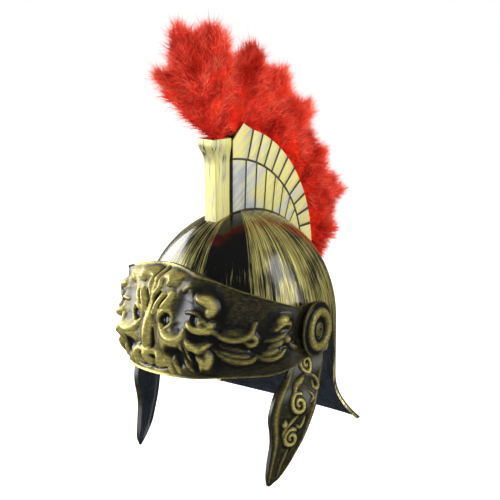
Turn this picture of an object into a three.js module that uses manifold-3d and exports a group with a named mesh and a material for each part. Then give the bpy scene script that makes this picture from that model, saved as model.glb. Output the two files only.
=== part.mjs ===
// Roman legionary helmet of the costume kind: thin moulded shells with a lion visor and a red plume.
// Millimetres, +Z up. The face looks towards -Y and the wearer's left is +X.
// Every shape is laid out round the middle of the dome. The last group moves them all,
// so that the origin is the inside top of the bowl, where the helmet rests on the head.
import * as THREE from 'three';
import { mergeVertices } from 'three/addons/utils/BufferGeometryUtils.js';
import Module from 'manifold-3d';

const wasm = await Module();
wasm.setup();

// Clearances between pieces
const clearance = 0.3;
const slideGap = 0.6;
const facetSlack = 0.9;

// Bowl: half an ellipsoid over a straight skirt
const bowlHalfWidth = 94;
const bowlHalfLength = 116;
const bowlHeight = 124;
const bowlWall = 2.2;
const skirtDrop = 60;
const browDrop = -6;
const tabDrop = 24;
const tabFront = -26;

// Neck guard: the rear of the skirt, flared to a wide lip that slopes down to the back
const lipHalfWidth = 128;
const lipReach = 136;
const lipCornerDrop = 99;
const lipRearDrop = 122;
const guardEdge = 77;
const lipCorner = 70;
const flarePower = 2.7;

// Ear notch in front of the neck guard, with a round arch
const notchWidth = 27;
const notchTop = -8;

// Pivot of visor and cheek guards: one line across the helmet through both rosettes
const pivotY = 8;
const pivotZ = 9;
const rivetRadius = 2.4;
const rivetHeadRadius = 4.2;
const rivetHeadHeight = 1.8;
const rivetEyeRadius = 1.3;
const rivetEyeDepth = 1.2;

// Cheek guard: a shallow tray hung on the pivot, its face splayed outwards below the visor
const cheekWall = 2.0;
const cheekTopRadius = 22;
const cheekSplay = 26;
const cheekCrown = 2;
const cheekTrayDepth = 6;
const cheekRearDepth = 3.2;
const cheekBevel = 1;
const cheekLength = 180;
const cheekWidth = 52;

// Visor: a tall band round the face, leaning back towards its top, with a mask standing out in front
const visorHalfWidth = 107;
const visorHalfLength = 101;
const visorTopHalfLength = 78;
const visorMiddle = -20;
const visorWall = 2.0;
const visorFrontTop = 79;
const visorFrontDrop = 33;
const visorEarRadius = 28;
const visorEarSlope = 0.12;
const visorTuck = 0.1;
const visorTuckHeight = 34;
const visorRoundness = 2.05;
const visorTopRoundness = 2.7;
const visorRim = 1.2;
const maskSwell = 11;
const maskShoulder = 27;
const maskEdge = 41;
const maskTopFade = 0.83;
const maskHollowShare = 0.8;

// Rosette on each ear of the visor
const rosetteRadius = 29.8;
const rosetteRim = 2.0;
const rosetteRing = 6.8;
const rosetteBoss = 4.4;
const rosetteTurn = 14;

// Crest post with its flared capital
const postHalfWidth = 9;
const postFront = -42.5;
const postRear = -22.5;
const postShaftTop = 181;
const postTop = 203;
const capitalHalfWidth = 12;
const capitalFront = -49.5;
const capitalBand = 5;
const postWall = 2;
const postFloor = 132;

// Crest fan: a narrow box with panelled sides, open along its outer edge for the plume
const fanHalfWidth = 10;
const fanWall = 2;
const fanFront = -19;
const fanPeakY = -3;
const fanPeakZ = 217;
const fanShoulderZ = 200;
const fanRearY = 101;
const fanArcY = -22;
const fanArcZ = 70;
const fanInnerRadiusY = 107;
const fanInnerRadiusZ = 110;
const fanOuterRadiusY = 124;
const fanOuterRadiusZ = 144;
const grooveWidth = 1.3;
const grooveDepth = 0.7;

// Plume: locks of feather on a backing that sits in the post and in the fan
const plumeHalfWidth = 33;
const backingDepth = 12;

const degrees = Math.PI / 180;
const mix = (a, b, share) => a + (b - a) * share;
const clamp = (value, low, high) => Math.min(high, Math.max(low, value));
const smooth = (value, low, high) => {
  const share = clamp((value - low) / (high - low), 0, 1);
  return share * share * (3 - 2 * share);
};

// Indexed geometry from a list of points and faces
function meshOf(points, faces) {
  const geometry = new THREE.BufferGeometry();
  geometry.setAttribute('position', new THREE.Float32BufferAttribute(points.flat(), 3));
  geometry.setIndex(faces.flat());
  return geometry;
}

// Solid for joining and cutting
function solidOf(geometry) {
  const bare = geometry.clone();
  bare.deleteAttribute('normal');
  bare.deleteAttribute('uv');
  const merged = mergeVertices(bare, 1e-4);
  const mesh = new wasm.Mesh({
    numProp: 3,
    vertProperties: new Float32Array(merged.attributes.position.array),
    triVerts: new Uint32Array(merged.index.array),
  });
  return new wasm.Manifold(mesh);
}

function geometryOf(solid) {
  const mesh = solid.getMesh();
  const geometry = new THREE.BufferGeometry();
  geometry.setAttribute('position', new THREE.Float32BufferAttribute(mesh.vertProperties, 3));
  geometry.setIndex(new THREE.Uint32BufferAttribute(mesh.triVerts, 1));
  return geometry;
}

// Prism across the helmet, from an outline drawn as (y, z)
function prismAlongX(outline, fromX, toX) {
  const shape = new THREE.Shape(outline.map(([y, z]) => new THREE.Vector2(y, z)));
  const options = { depth: toX - fromX, bevelEnabled: false };
  const geometry = new THREE.ExtrudeGeometry(shape, options);
  const basis = new THREE.Matrix4().makeBasis(
    new THREE.Vector3(0, 1, 0),
    new THREE.Vector3(0, 0, 1),
    new THREE.Vector3(1, 0, 0),
  );
  geometry.applyMatrix4(basis);
  geometry.translate(fromX, 0, 0);
  return solidOf(geometry);
}

// Round bar across the helmet, on the pivot line
function barAlongX(radius, fromX, toX, sides = 12) {
  const bar = new THREE.CylinderGeometry(radius, radius, toX - fromX, sides);
  bar.rotateZ(-Math.PI / 2);
  bar.translate((fromX + toX) / 2, pivotY, pivotZ);
  return solidOf(bar);
}

// Closed wall between an outer and an inner sheet of columns; inner rows may be fewer
function wallBetween(outer, inner) {
  const points = [];
  const faces = [];
  const number = (sheet) => sheet.map((column) => column.map((p) => points.push(p) - 1));
  const out = number(outer);
  const inn = number(inner);
  const last = outer.length - 1;
  const skin = (grid, flip) => {
    for (let i = 0; i < last; i += 1) {
      for (let j = 0; j < grid[0].length - 1; j += 1) {
        const a = grid[i][j];
        const b = grid[i + 1][j];
        const c = grid[i + 1][j + 1];
        const d = grid[i][j + 1];
        faces.push(flip ? [a, c, b] : [a, b, c], flip ? [a, d, c] : [a, c, d]);
      }
    }
  };
  skin(out, false);
  skin(inn, true);
  const end = (column) => column[column.length - 1];
  for (let i = 0; i < last; i += 1) {
    faces.push([inn[i][0], inn[i + 1][0], out[i + 1][0]], [inn[i][0], out[i + 1][0], out[i][0]]);
    faces.push([end(out[i]), end(out[i + 1]), end(inn[i + 1])]);
    faces.push([end(out[i]), end(inn[i + 1]), end(inn[i])]);
  }
  const cap = (o, n, flip) => {
    const ratio = (o.length - 1) / (n.length - 1);
    let j = 0;
    for (let i = 0; i < o.length - 1; i += 1) {
      faces.push(flip ? [o[i], n[j], o[i + 1]] : [o[i], o[i + 1], n[j]]);
      while (j < n.length - 1 && (i + 1) / ratio >= j + 1 - 1e-9) {
        faces.push(flip ? [o[i + 1], n[j], n[j + 1]] : [o[i + 1], n[j + 1], n[j]]);
        j += 1;
      }
    }
  };
  cap(out[0], inn[0], false);
  cap(out[last], inn[last], true);
  return meshOf(points, faces);
}

// Closed body through rings of points, all with the same count, closed by flat ends
function loftOf(rings) {
  const count = rings[0].length;
  const points = rings.flat();
  const faces = [];
  for (let i = 0; i < rings.length - 1; i += 1) {
    for (let j = 0; j < count; j += 1) {
      const k = (j + 1) % count;
      const a = i * count + j;
      const b = i * count + k;
      faces.push([a, b, b + count], [a, b + count, a + count]);
    }
  }
  const top = (rings.length - 1) * count;
  const middle = (ring) => ring.reduce((sum, p) => sum.map((v, n) => v + p[n] / count), [0, 0, 0]);
  const low = points.push(middle(rings[0])) - 1;
  const high = points.push(middle(rings[rings.length - 1])) - 1;
  for (let j = 0; j < count; j += 1) {
    const k = (j + 1) % count;
    faces.push([low, k, j], [high, top + j, top + k]);
  }
  return meshOf(points, faces);
}

// Point of the bowl's outer face: level 0 to 1 is the dome, 1 to 2 the skirt, 2 to 3 the neck guard
function bowlPoint(angle, level) {
  if (level <= 1) {
    const rise = (1 - level) * 90 * degrees;
    const out = Math.cos(rise);
    return [
      bowlHalfWidth * out * Math.cos(angle),
      bowlHalfLength * out * Math.sin(angle),
      bowlHeight * Math.sin(rise),
    ];
  }
  const wall = [bowlHalfWidth * Math.cos(angle), bowlHalfLength * Math.sin(angle)];
  if (level <= 2) return [...wall, -skirtDrop * (level - 1)];
  const share = level - 2;
  let fromRear = angle - Math.PI / 2;
  if (fromRear > Math.PI) fromRear -= 2 * Math.PI;
  const edgeAngle = Math.acos(guardEdge / bowlHalfLength);
  const cornerAngle = Math.acos(lipCorner / lipReach);
  const spread = clamp(fromRear * (cornerAngle / edgeAngle), -80 * degrees, 80 * degrees);
  const lip = [-lipHalfWidth * Math.sin(spread), lipReach * Math.cos(spread)];
  const kept = 1 - smooth(Math.abs(fromRear), edgeAngle * 1.25, edgeAngle * 1.6);
  const flare = kept * share ** flarePower;
  const back = clamp((lip[1] - lipCorner) / (lipReach - lipCorner), -0.6, 1);
  const lipZ = -mix(lipCornerDrop, lipRearDrop, back);
  return [mix(wall[0], lip[0], flare), mix(wall[1], lip[1], flare), mix(-skirtDrop, lipZ, share)];
}

// Point moved inwards by a distance, square to the sheet
function inset(sheet, u, v, distance) {
  const step = 1e-3;
  const at = new THREE.Vector3(...sheet(u, v));
  const along = new THREE.Vector3(...sheet(u + step, v)).sub(new THREE.Vector3(...sheet(u - step, v)));
  const down = new THREE.Vector3(...sheet(u, v + step)).sub(new THREE.Vector3(...sheet(u, v - step)));
  const normal = along.cross(down).normalize();
  return at.addScaledVector(normal, distance).toArray();
}

// Outline of the face opening and both ear notches, as (y, z), seen from the side
function openingOutline() {
  const far = 300;
  const notchRadius = notchWidth / 2;
  const notchMiddle = guardEdge - notchRadius;
  const notchFront = guardEdge - notchWidth;
  const arch = [];
  for (let turn = 180; turn >= 0; turn -= 22.5) {
    const y = notchMiddle + notchRadius * Math.cos(turn * degrees);
    arch.push([y, notchTop - notchRadius + notchRadius * Math.sin(turn * degrees)]);
  }
  const edge = [];
  for (let share = 0; share <= 1.3; share += 0.13) {
    const flare = share ** flarePower;
    edge.push([mix(guardEdge, lipCorner, flare), mix(-skirtDrop, -lipCornerDrop, share)]);
  }
  return [
    [-far, -far],
    [-far, -browDrop],
    [tabFront - 20, -browDrop],
    [tabFront - 7, -browDrop - 5],
    [tabFront, -browDrop - 15],
    [tabFront + 8, -tabDrop],
    [notchFront - 4, -tabDrop],
    [notchFront, -tabDrop + 4],
    ...arch,
    ...edge,
    [edge[edge.length - 1][0], -far],
  ];
}

function makeBowl() {
  const columns = 40;
  const levels = [0.1, 0.22, 0.35, 0.48, 0.61, 0.74, 0.87, 1, 1.35, 2, 2.3, 2.55, 2.72, 2.87, 3];
  const points = [];
  const faces = [];
  const rings = { out: [], inn: [] };
  for (const level of levels) {
    const out = [];
    const inn = [];
    for (let i = 0; i < columns; i += 1) {
      const angle = (2 * Math.PI * (i + 0.5)) / columns;
      out.push(points.push(bowlPoint(angle, level)) - 1);
      inn.push(points.push(inset(bowlPoint, angle, level, bowlWall)) - 1);
    }
    rings.out.push(out);
    rings.inn.push(inn);
  }
  const topOut = points.push([0, 0, bowlHeight]) - 1;
  const topInn = points.push([0, 0, bowlHeight - bowlWall]) - 1;
  for (let i = 0; i < columns; i += 1) {
    const k = (i + 1) % columns;
    faces.push([topOut, rings.out[0][i], rings.out[0][k]]);
    faces.push([topInn, rings.inn[0][k], rings.inn[0][i]]);
    for (let j = 0; j < levels.length - 1; j += 1) {
      const [a, b] = [rings.out[j], rings.out[j + 1]];
      faces.push([a[i], b[i], b[k]], [a[i], b[k], a[k]]);
      const [c, d] = [rings.inn[j], rings.inn[j + 1]];
      faces.push([c[i], d[k], d[i]], [c[i], c[k], d[k]]);
    }
    const out = rings.out[levels.length - 1];
    const inn = rings.inn[levels.length - 1];
    faces.push([out[i], inn[i], inn[k]], [out[i], inn[k], out[k]]);
  }
  let bowl = solidOf(meshOf(points, faces));
  const reach = lipHalfWidth + 40;
  bowl = bowl.subtract(prismAlongX(openingOutline(), -reach, reach));
  bowl = bowl.subtract(barAlongX(rivetRadius + clearance, -reach, reach));
  return geometryOf(bowl);
}

// Dome grown by a margin, to trim what stands on it
function grownDome(margin) {
  const dome = new THREE.SphereGeometry(1, 40, 24);
  dome.rotateX(Math.PI / 2);
  dome.rotateZ(Math.PI / 40);
  dome.scale(bowlHalfWidth + margin, bowlHalfLength + margin, bowlHeight + margin);
  return solidOf(dome);
}

// Relief of the visor: lobes on its face. angle is the way round from the middle of the face,
// as a share of a right angle; up is the height as a share of the visor's front height;
// long and wide are half sizes as shares of that height; turn is the slope of the long way, in degrees;
// rise is the height over the face as a share of the largest rise.
const reliefRise = 7;
const lobes = [
  { name: 'nose bridge', angle: 0, up: 0.42, long: 0.34, wide: 0.13, turn: 90, rise: 0.7 },
  { name: 'nose tip', angle: 0, up: 0.16, long: 0.13, wide: 0.14, turn: 90, rise: 0.85 },
  { name: 'brow', angle: 0.15, up: 0.68, long: 0.22, wide: 0.12, turn: 55, rise: 0.75 },
  { name: 'cheek bone', angle: 0.25, up: 0.33, long: 0.16, wide: 0.13, turn: 35, rise: 0.75 },
  { name: 'muzzle', angle: 0.13, up: 0.12, long: 0.14, wide: 0.13, turn: 0, rise: 0.6 },
  { name: 'hair curl', angle: 0.23, up: 0.88, long: 0.13, wide: 0.12, turn: 20, rise: 0.65 },
  { name: 'temple lock', angle: 0.45, up: 0.74, long: 0.17, wide: 0.14, turn: -60, rise: 0.95 },
  { name: 'mane lock', angle: 0.41, up: 0.45, long: 0.17, wide: 0.14, turn: -20, rise: 0.9 },
  { name: 'beard lock', angle: 0.36, up: 0.18, long: 0.17, wide: 0.14, turn: -40, rise: 0.75 },
  { name: 'upper acanthus rib', angle: 0.62, up: 0.42, long: 0.22, wide: 0.11, turn: -4, rise: 0.5 },
  { name: 'lower acanthus rib', angle: 0.61, up: 0.2, long: 0.2, wide: 0.11, turn: -3, rise: 0.5 },
  { name: 'upper palmette leaf', angle: 0.89, up: 0.48, long: 0.15, wide: 0.11, turn: 25, rise: 0.5 },
  { name: 'lower palmette leaf', angle: 0.86, up: 0.24, long: 0.16, wide: 0.11, turn: -5, rise: 0.5 },
];
const sockets = [
  { name: 'eye socket', angle: 0.145, up: 0.47, long: 0.13, wide: 0.12, turn: 0, rise: -0.55 },
];

// Share of the mask's swell: full over the face and falling away steeply at the edge of the mane
function maskShare(angle) {
  return 1 - smooth(Math.abs(angle), maskShoulder * degrees, maskEdge * degrees);
}

function reliefHeight(angle, z) {
  const height = visorFrontTop + visorFrontDrop;
  const roundLength = (visorHalfWidth + visorHalfLength) / 2;
  const across = Math.abs(angle) * roundLength;
  const raised = (lobe) => {
    const ahead = across - lobe.angle * 90 * degrees * roundLength;
    const mirrored = -across - lobe.angle * 90 * degrees * roundLength;
    const above = z + visorFrontDrop - lobe.up * height;
    const c = Math.cos(lobe.turn * degrees);
    const s = Math.sin(lobe.turn * degrees);
    const spread = (side) => {
      const q = ((side * c + above * s) / (lobe.long * height)) ** 2
        + ((above * c - side * s) / (lobe.wide * height)) ** 2;
      return q < 1 ? (1 - q) ** 1.3 * lobe.rise * reliefRise : 0;
    };
    const near = spread(ahead);
    const far = spread(mirrored);
    return Math.abs(near) > Math.abs(far) ? near : far;
  };
  const high = Math.max(0, ...lobes.map(raised));
  const low = Math.min(0, ...sockets.map(raised));
  const sideways = maskShare(angle);
  const under = 1 - smooth(z, visorFrontTop * maskTopFade, visorFrontTop);
  const over = smooth(z, -visorFrontDrop, 0);
  return high + low + maskSwell * sideways * under * mix(0.45, 1, over);
}

// Bottom and top edge of the visor at an angle round from the middle of the face
function visorEdges(angle, y) {
  const turn = Math.cos(Math.min(Math.abs(angle), Math.PI / 2));
  const earTop = pivotZ + visorEarRadius;
  const earDrop = pivotZ - visorEarRadius;
  if (y > pivotY) {
    const half = Math.sqrt(Math.max(0, visorEarRadius ** 2 - (y - pivotY) ** 2));
    return [pivotZ - half, pivotZ + half];
  }
  const top = mix(earTop, visorFrontTop, turn ** 1.1);
  const settle = smooth(y, -60, pivotY);
  return [mix(-visorFrontDrop, earDrop, settle), top];
}

// Point of the visor's face without its relief. The angle is a direction from the middle of the plan;
// past the flank it counts on along the straight ear.
function visorPlan(angle, z) {
  const side = Math.sign(angle) || 1;
  const flank = 90 * degrees;
  const round = Math.min(Math.abs(angle), flank);
  const up = clamp(z / visorFrontTop, 0, 1);
  const long = mix(visorHalfLength, visorTopHalfLength, up ** 1.6);
  const power = mix(visorRoundness, visorTopRoundness, up);
  const low = clamp((visorTuckHeight - visorFrontDrop - z) / visorTuckHeight, 0, 1.2);
  const hold = 1 - smooth(round, 55 * degrees, 92 * degrees);
  const wide = visorHalfWidth * (1 - visorTuck * hold * low ** 2);
  const out = ((Math.sin(round) / wide) ** power + (Math.cos(round) / long) ** power) ** (-1 / power);
  const beyond = (Math.abs(angle) - round) * visorHalfWidth;
  const x = out * Math.sin(round) - beyond * visorEarSlope;
  return [side * x, visorMiddle - out * Math.cos(round) + beyond];
}

const visorEnd = 90 * degrees + (pivotY - visorMiddle + visorEarRadius * 0.94) / visorHalfWidth;

function makeVisor() {
  const rows = 17;
  const innerRows = 4;
  const halfColumns = 27;
  const outer = [];
  const inner = [];
  const sheet = (depth, withRelief) => (angle, share) => {
    const y = visorPlan(angle, 0)[1];
    const [low, top] = visorEdges(angle, y);
    const z = mix(low, top, share);
    const [px, py] = visorPlan(angle, z);
    const step = 1e-3;
    const [qx, qy] = visorPlan(angle + step, z);
    const [rx, ry] = visorPlan(angle - step, z);
    const size = Math.hypot(qx - rx, qy - ry);
    const fade = smooth(share, 0, 0.07) * smooth(1 - share, 0, 0.07)
      * (1 - smooth(Math.abs(angle), 84 * degrees, 94 * degrees));
    const rim = visorRim * (1 - smooth(share, 0, 0.03) * smooth(1 - share, 0, 0.03));
    const edgeRim = rim * (1 - smooth(Math.abs(angle), 84 * degrees, 94 * degrees));
    const out = (withRelief ? reliefHeight(angle, z) * fade + edgeRim : 0) - depth;
    return [px + ((qy - ry) / size) * out, py - ((qx - rx) / size) * out, z];
  };
  const outside = sheet(0, true);
  const inside = (angle, share) => {
    const [low, top] = visorEdges(angle, visorPlan(angle, 0)[1]);
    const hollow = maskHollowShare * maskSwell * smooth(share, 0.05, 0.4) * (1 - smooth(share, 0.6, 0.95));
    const kept = maskShare(angle);
    const point = sheet(visorWall - hollow * kept, false)(angle, share);
    return [point[0], point[1], mix(low, top, share)];
  };
  for (let i = -halfColumns; i <= halfColumns; i += 1) {
    const share = i / halfColumns;
    const angle = visorEnd * (0.7 * share + 0.3 * share ** 3);
    const out = [];
    const inn = [];
    for (let j = 0; j <= rows; j += 1) out.push(outside(angle, j / rows));
    for (let j = 0; j <= innerRows; j += 1) inn.push(inside(angle, j / innerRows));
    outer.push(out);
    inner.push(inn);
  }
  let visor = solidOf(wallBetween(outer, inner));
  const reach = visorHalfWidth + 40;
  visor = visor.subtract(barAlongX(rivetRadius + clearance, -reach, reach));
  return geometryOf(visor);
}

// Ear of the visor at the pivot: where its outer face is, and how far that face turns to the rear
const earFaceX = visorHalfWidth - (pivotY - visorMiddle) * visorEarSlope;
const earTurn = Math.atan(visorEarSlope);

// Rosette: dished disc with a raised ring and a boss, turned to the rear and seated flat on the ear
const rosetteFaceX = earFaceX + rosetteRadius * Math.sin(rosetteTurn * degrees - earTurn);
function makeRosette(side) {
  const r = rosetteRadius;
  const root = -r * 0.5;
  const profile = [
    [0, root], [r, root], [r, rosetteRim], [r * 0.94, rosetteRim], [r * 0.89, rosetteRim * 0.45],
    [r * 0.82, rosetteRim * 0.42], [r * 0.76, rosetteRing * 0.76], [r * 0.65, rosetteRing],
    [r * 0.54, rosetteRing * 0.96], [r * 0.44, rosetteRing * 0.62], [r * 0.39, rosetteRim * 0.5],
    [r * 0.28, rosetteRim * 0.5], [r * 0.24, rosetteBoss], [0, rosetteBoss],
  ];
  const disc = new THREE.LatheGeometry(profile.map(([x, y]) => new THREE.Vector2(x, y)), 18);
  disc.rotateZ(-Math.PI / 2);
  disc.rotateZ(rosetteTurn * degrees);
  disc.translate(rosetteFaceX, pivotY, pivotZ);
  const behind = new THREE.BoxGeometry(r * 2, r * 3, r * 3);
  behind.translate(clearance / Math.cos(earTurn) - r, 0, 0);
  behind.rotateZ(earTurn);
  behind.translate(earFaceX, pivotY, pivotZ);
  let rosette = solidOf(disc).subtract(solidOf(behind));
  rosette = rosette.subtract(barAlongX(rivetRadius + clearance, earFaceX - r, earFaceX + r));
  rosette = rosette.subtract(barAlongX(rivetHeadRadius + clearance, rivetLedge, earFaceX + r));
  return geometryOf(side > 0 ? rosette : rosette.mirror([1, 0, 0]));
}

// Rivet: a head in the rosette's boss with a small eye, a shank, and a head inside the bowl
const rivetLedge = rosetteFaceX + rosetteBoss - rivetHeadHeight * 0.6;
function makeRivet(side) {
  const outerLow = rivetLedge + clearance;
  const innerHigh = bowlPivotX() - bowlWall - clearance - facetSlack;
  let rivet = barAlongX(rivetRadius, innerHigh - 0.5, outerLow + 0.5);
  rivet = rivet.add(barAlongX(rivetHeadRadius, outerLow, outerLow + rivetHeadHeight));
  rivet = rivet.add(barAlongX(rivetHeadRadius, innerHigh - rivetHeadHeight, innerHigh));
  const top = outerLow + rivetHeadHeight;
  rivet = rivet.subtract(barAlongX(rivetEyeRadius, top - rivetEyeDepth, top + 1, 8));
  return geometryOf(side > 0 ? rivet : rivet.mirror([1, 0, 0]));
}

// Outer face of the bowl on the pivot line
function bowlPivotX() {
  const left = 1 - (pivotY / bowlHalfLength) ** 2 - (pivotZ / bowlHeight) ** 2;
  return bowlHalfWidth * Math.sqrt(left);
}

// Cheek guard: sections from the top down. drop is a share of the guard's length below its top;
// front and rear are its two edges as shares of its width before and behind the pivot;
// frontOut and rearOut are how far those edges splay outwards, as shares of the largest splay.
const cheekSections = [
  { drop: 0, front: -0.07, rear: 0.07, frontOut: 0, rearOut: 0 },
  { drop: 0.022, front: -0.23, rear: 0.23, frontOut: 0, rearOut: 0 },
  { drop: 0.061, front: -0.365, rear: 0.365, frontOut: 0, rearOut: 0 },
  { drop: 0.122, front: -0.423, rear: 0.423, frontOut: 0, rearOut: 0 },
  { drop: 0.256, front: -0.452, rear: 0.429, frontOut: 0, rearOut: 0 },
  { drop: 0.35, front: -0.635, rear: 0.365, frontOut: 0.05, rearOut: 0.11 },
  { drop: 0.383, front: -0.77, rear: 0.25, frontOut: 0.16, rearOut: 0.26 },
  { drop: 0.417, front: -0.952, rear: 0.096, frontOut: 0.33, rearOut: 0.465 },
  { drop: 0.456, front: -1.163, rear: -0.077, frontOut: 0.47, rearOut: 0.735 },
  { drop: 0.506, front: -1.25, rear: -0.221, frontOut: 0.465, rearOut: 0.927 },
  { drop: 0.561, front: -1.298, rear: -0.313, frontOut: 0.41, rearOut: 0.99 },
  { drop: 0.617, front: -1.298, rear: -0.375, frontOut: 0.37, rearOut: 0.92 },
  { drop: 0.683, front: -1.244, rear: -0.448, frontOut: 0.354, rearOut: 0.83 },
  { drop: 0.75, front: -1.225, rear: -0.542, frontOut: 0.34, rearOut: 0.735 },
  { drop: 0.883, front: -1.283, rear: -0.798, frontOut: 0.27, rearOut: 0.485 },
  { drop: 0.944, front: -1.308, rear: -0.971, frontOut: 0.235, rearOut: 0.37 },
  { drop: 0.983, front: -1.288, rear: -1.115, frontOut: 0.204, rearOut: 0.29 },
  { drop: 1, front: -1.265, rear: -1.215, frontOut: 0.2, rearOut: 0.215 },
];
const cheekTop = pivotZ + cheekTopRadius;
const cheekFaceTop = bowlHalfWidth + slideGap + clearance + cheekWall;

// Both edges of the guard's face at a drop, as (x, y)
function cheekEdges(drop) {
  const last = cheekSections.length - 1;
  let i = 0;
  while (i < last - 1 && cheekSections[i + 1].drop < drop) i += 1;
  const a = cheekSections[i];
  const b = cheekSections[i + 1];
  const share = clamp((drop - a.drop) / (b.drop - a.drop), 0, 1);
  const value = (key) => mix(a[key], b[key], share);
  return {
    front: [cheekFaceTop + value('frontOut') * cheekSplay, pivotY + value('front') * cheekWidth],
    rear: [cheekFaceTop + value('rearOut') * cheekSplay, pivotY + value('rear') * cheekWidth],
  };
}

// Outer face of the guard at a place, without its relief
function cheekFace(y, z) {
  const drop = (cheekTop - z) / cheekLength;
  const { front, rear } = cheekEdges(drop);
  const share = clamp((y - front[1]) / (rear[1] - front[1]), 0, 1);
  const crown = cheekCrown * smooth(drop, 0.35, 0.5) * 4 * share * (1 - share);
  return mix(front[0], rear[0], share) + crown;
}

// Ribbon raised on the cheek guard along points given as (y, z)
function cheekRibbon(path, width, height) {
  const count = path.length;
  const rings = path.map(([y, z], i) => {
    const before = path[Math.max(0, i - 1)];
    const after = path[Math.min(count - 1, i + 1)];
    const size = Math.hypot(after[0] - before[0], after[1] - before[1]);
    const ny = -(after[1] - before[1]) / size;
    const nz = (after[0] - before[0]) / size;
    const taper = mix(0.45, 1, Math.sin((Math.PI * (i + 0.5)) / count));
    const w = (width / 2) * taper;
    const corner = (across, out) => {
      const [cy, cz] = [y + ny * across, z + nz * across];
      return [cheekFace(cy, cz) + out, cy, cz];
    };
    return [
      corner(-w, -ribbonRoot), corner(w, -ribbonRoot),
      corner(w * 0.35, height * taper), corner(-w * 0.35, height * taper),
    ];
  });
  return solidOf(loftOf(rings));
}

// Scrolls of the guard, down its middle: across is a share of its width behind the pivot,
// drop a share of its length below its top, size a share of its width; start and sweep are in degrees
const scrolls = [
  { name: 'top scroll', across: -0.08, drop: 0.33, size: 0.16, start: 200, sweep: 440 },
  { name: 'middle scroll', across: -0.64, drop: 0.556, size: 0.17, start: 20, sweep: 440 },
  { name: 'lower scroll', across: -0.79, drop: 0.735, size: 0.13, start: 200, sweep: 400 },
];
const scrollWidth = 3.4;
const scrollRise = 1.8;
const ribbonRoot = 0.8;
const edgeRibbonWidth = 2.6;
const edgeRibbonRise = 1.4;

function cheekPlace(across, drop) {
  return [pivotY + across * cheekWidth, cheekTop - drop * cheekLength];
}

function spiralPath(scroll) {
  const [cy, cz] = cheekPlace(scroll.across, scroll.drop);
  const steps = Math.round(scroll.sweep / 48);
  const path = [];
  for (let i = 0; i <= steps; i += 1) {
    const turn = (scroll.start + (scroll.sweep * i) / steps) * degrees;
    const radius = scroll.size * cheekWidth * mix(1, 0.22, i / steps);
    path.push([cy + radius * Math.cos(turn), cz + 1.25 * radius * Math.sin(turn)]);
  }
  return path;
}

function makeCheekGuard(side) {
  const rings = cheekSections.map(({ drop }) => {
    const z = cheekTop - drop * cheekLength;
    const { front, rear } = cheekEdges(drop);
    const width = Math.hypot(rear[0] - front[0], rear[1] - front[1]);
    const along = [(rear[0] - front[0]) / width, (rear[1] - front[1]) / width];
    const tray = smooth(drop, 0.38, 0.46);
    const slim = mix(1, 0.6, smooth(drop, 0.85, 1));
    const deep = mix(cheekWall, cheekTrayDepth * slim, tray);
    const rearDeep = mix(cheekWall, cheekRearDepth * slim, tray);
    const lip = Math.min(cheekWall, width * 0.2);
    const bevel = Math.min(cheekBevel, width * 0.15);
    const crown = cheekCrown * smooth(drop, 0.35, 0.5) * Math.min(1, width / cheekWidth);
    const at = (across, out) => [
      front[0] + along[0] * across + along[1] * out,
      front[1] + along[1] * across - along[0] * out,
      z,
    ];
    return [
      at(0, -deep), at(0, -bevel), at(bevel, 0), at(width / 2, crown), at(width - bevel, 0),
      at(width, -bevel), at(width, -rearDeep), at(width - lip, -rearDeep - 0.01),
      at(width - lip - bevel, -cheekWall), at(width / 2, crown - cheekWall),
      at(lip + bevel, -cheekWall), at(lip, -deep - 0.01),
    ];
  });
  let guard = solidOf(loftOf(rings.reverse()));
  for (const scroll of scrolls) {
    guard = guard.add(cheekRibbon(spiralPath(scroll), scrollWidth, scrollRise));
  }
  const edgePath = cheekSections.slice(6, 17).map(({ drop, front, rear }) => {
    const inside = Math.min(0.09, (rear - front) * 0.3);
    return cheekPlace(front + inside, drop);
  });
  guard = guard.add(cheekRibbon(edgePath, edgeRibbonWidth, edgeRibbonRise));
  const hole = barAlongX(rivetRadius + clearance, 0, cheekFaceTop + cheekSplay);
  guard = guard.subtract(hole);
  return geometryOf(side > 0 ? guard : guard.mirror([1, 0, 0]));
}

// Crest post: square shaft and flared capital, hollow from the top, seated on the dome
function makeCrestPost() {
  const ring = (half, front, rear, z) => [
    [-half, front, z], [half, front, z], [half, rear, z], [-half, rear, z],
  ];
  const outside = loftOf([
    ring(postHalfWidth, postFront, postRear, bowlHeight * 0.85),
    ring(postHalfWidth, postFront - 0.8, postRear, postShaftTop),
    ring(mix(postHalfWidth, capitalHalfWidth, 0.3), mix(postFront, capitalFront, 0.35), postRear, postShaftTop + 7),
    ring(capitalHalfWidth, capitalFront, postRear, postTop - capitalBand),
    ring(capitalHalfWidth, capitalFront, postRear, postTop),
  ]);
  const w = postWall;
  const hollow = loftOf([
    ring(postHalfWidth - w, postFront + w, postRear - w, postFloor),
    ring(postHalfWidth - w, postFront + w, postRear - w, postShaftTop),
    ring(capitalHalfWidth - w, capitalFront + w, postRear - w, postTop - capitalBand),
    ring(capitalHalfWidth - w, capitalFront + w, postRear - w, postTop + 5),
  ]);
  return geometryOf(solidOf(outside).subtract(solidOf(hollow)).subtract(grownDome(clearance)));
}

// Point of an arc of the fan at a turn from straight up towards the rear
const fanPoint = (radiusY, radiusZ, turn) => [
  fanArcY + radiusY * Math.sin(turn * degrees),
  fanArcZ + radiusZ * Math.cos(turn * degrees),
];

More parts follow.
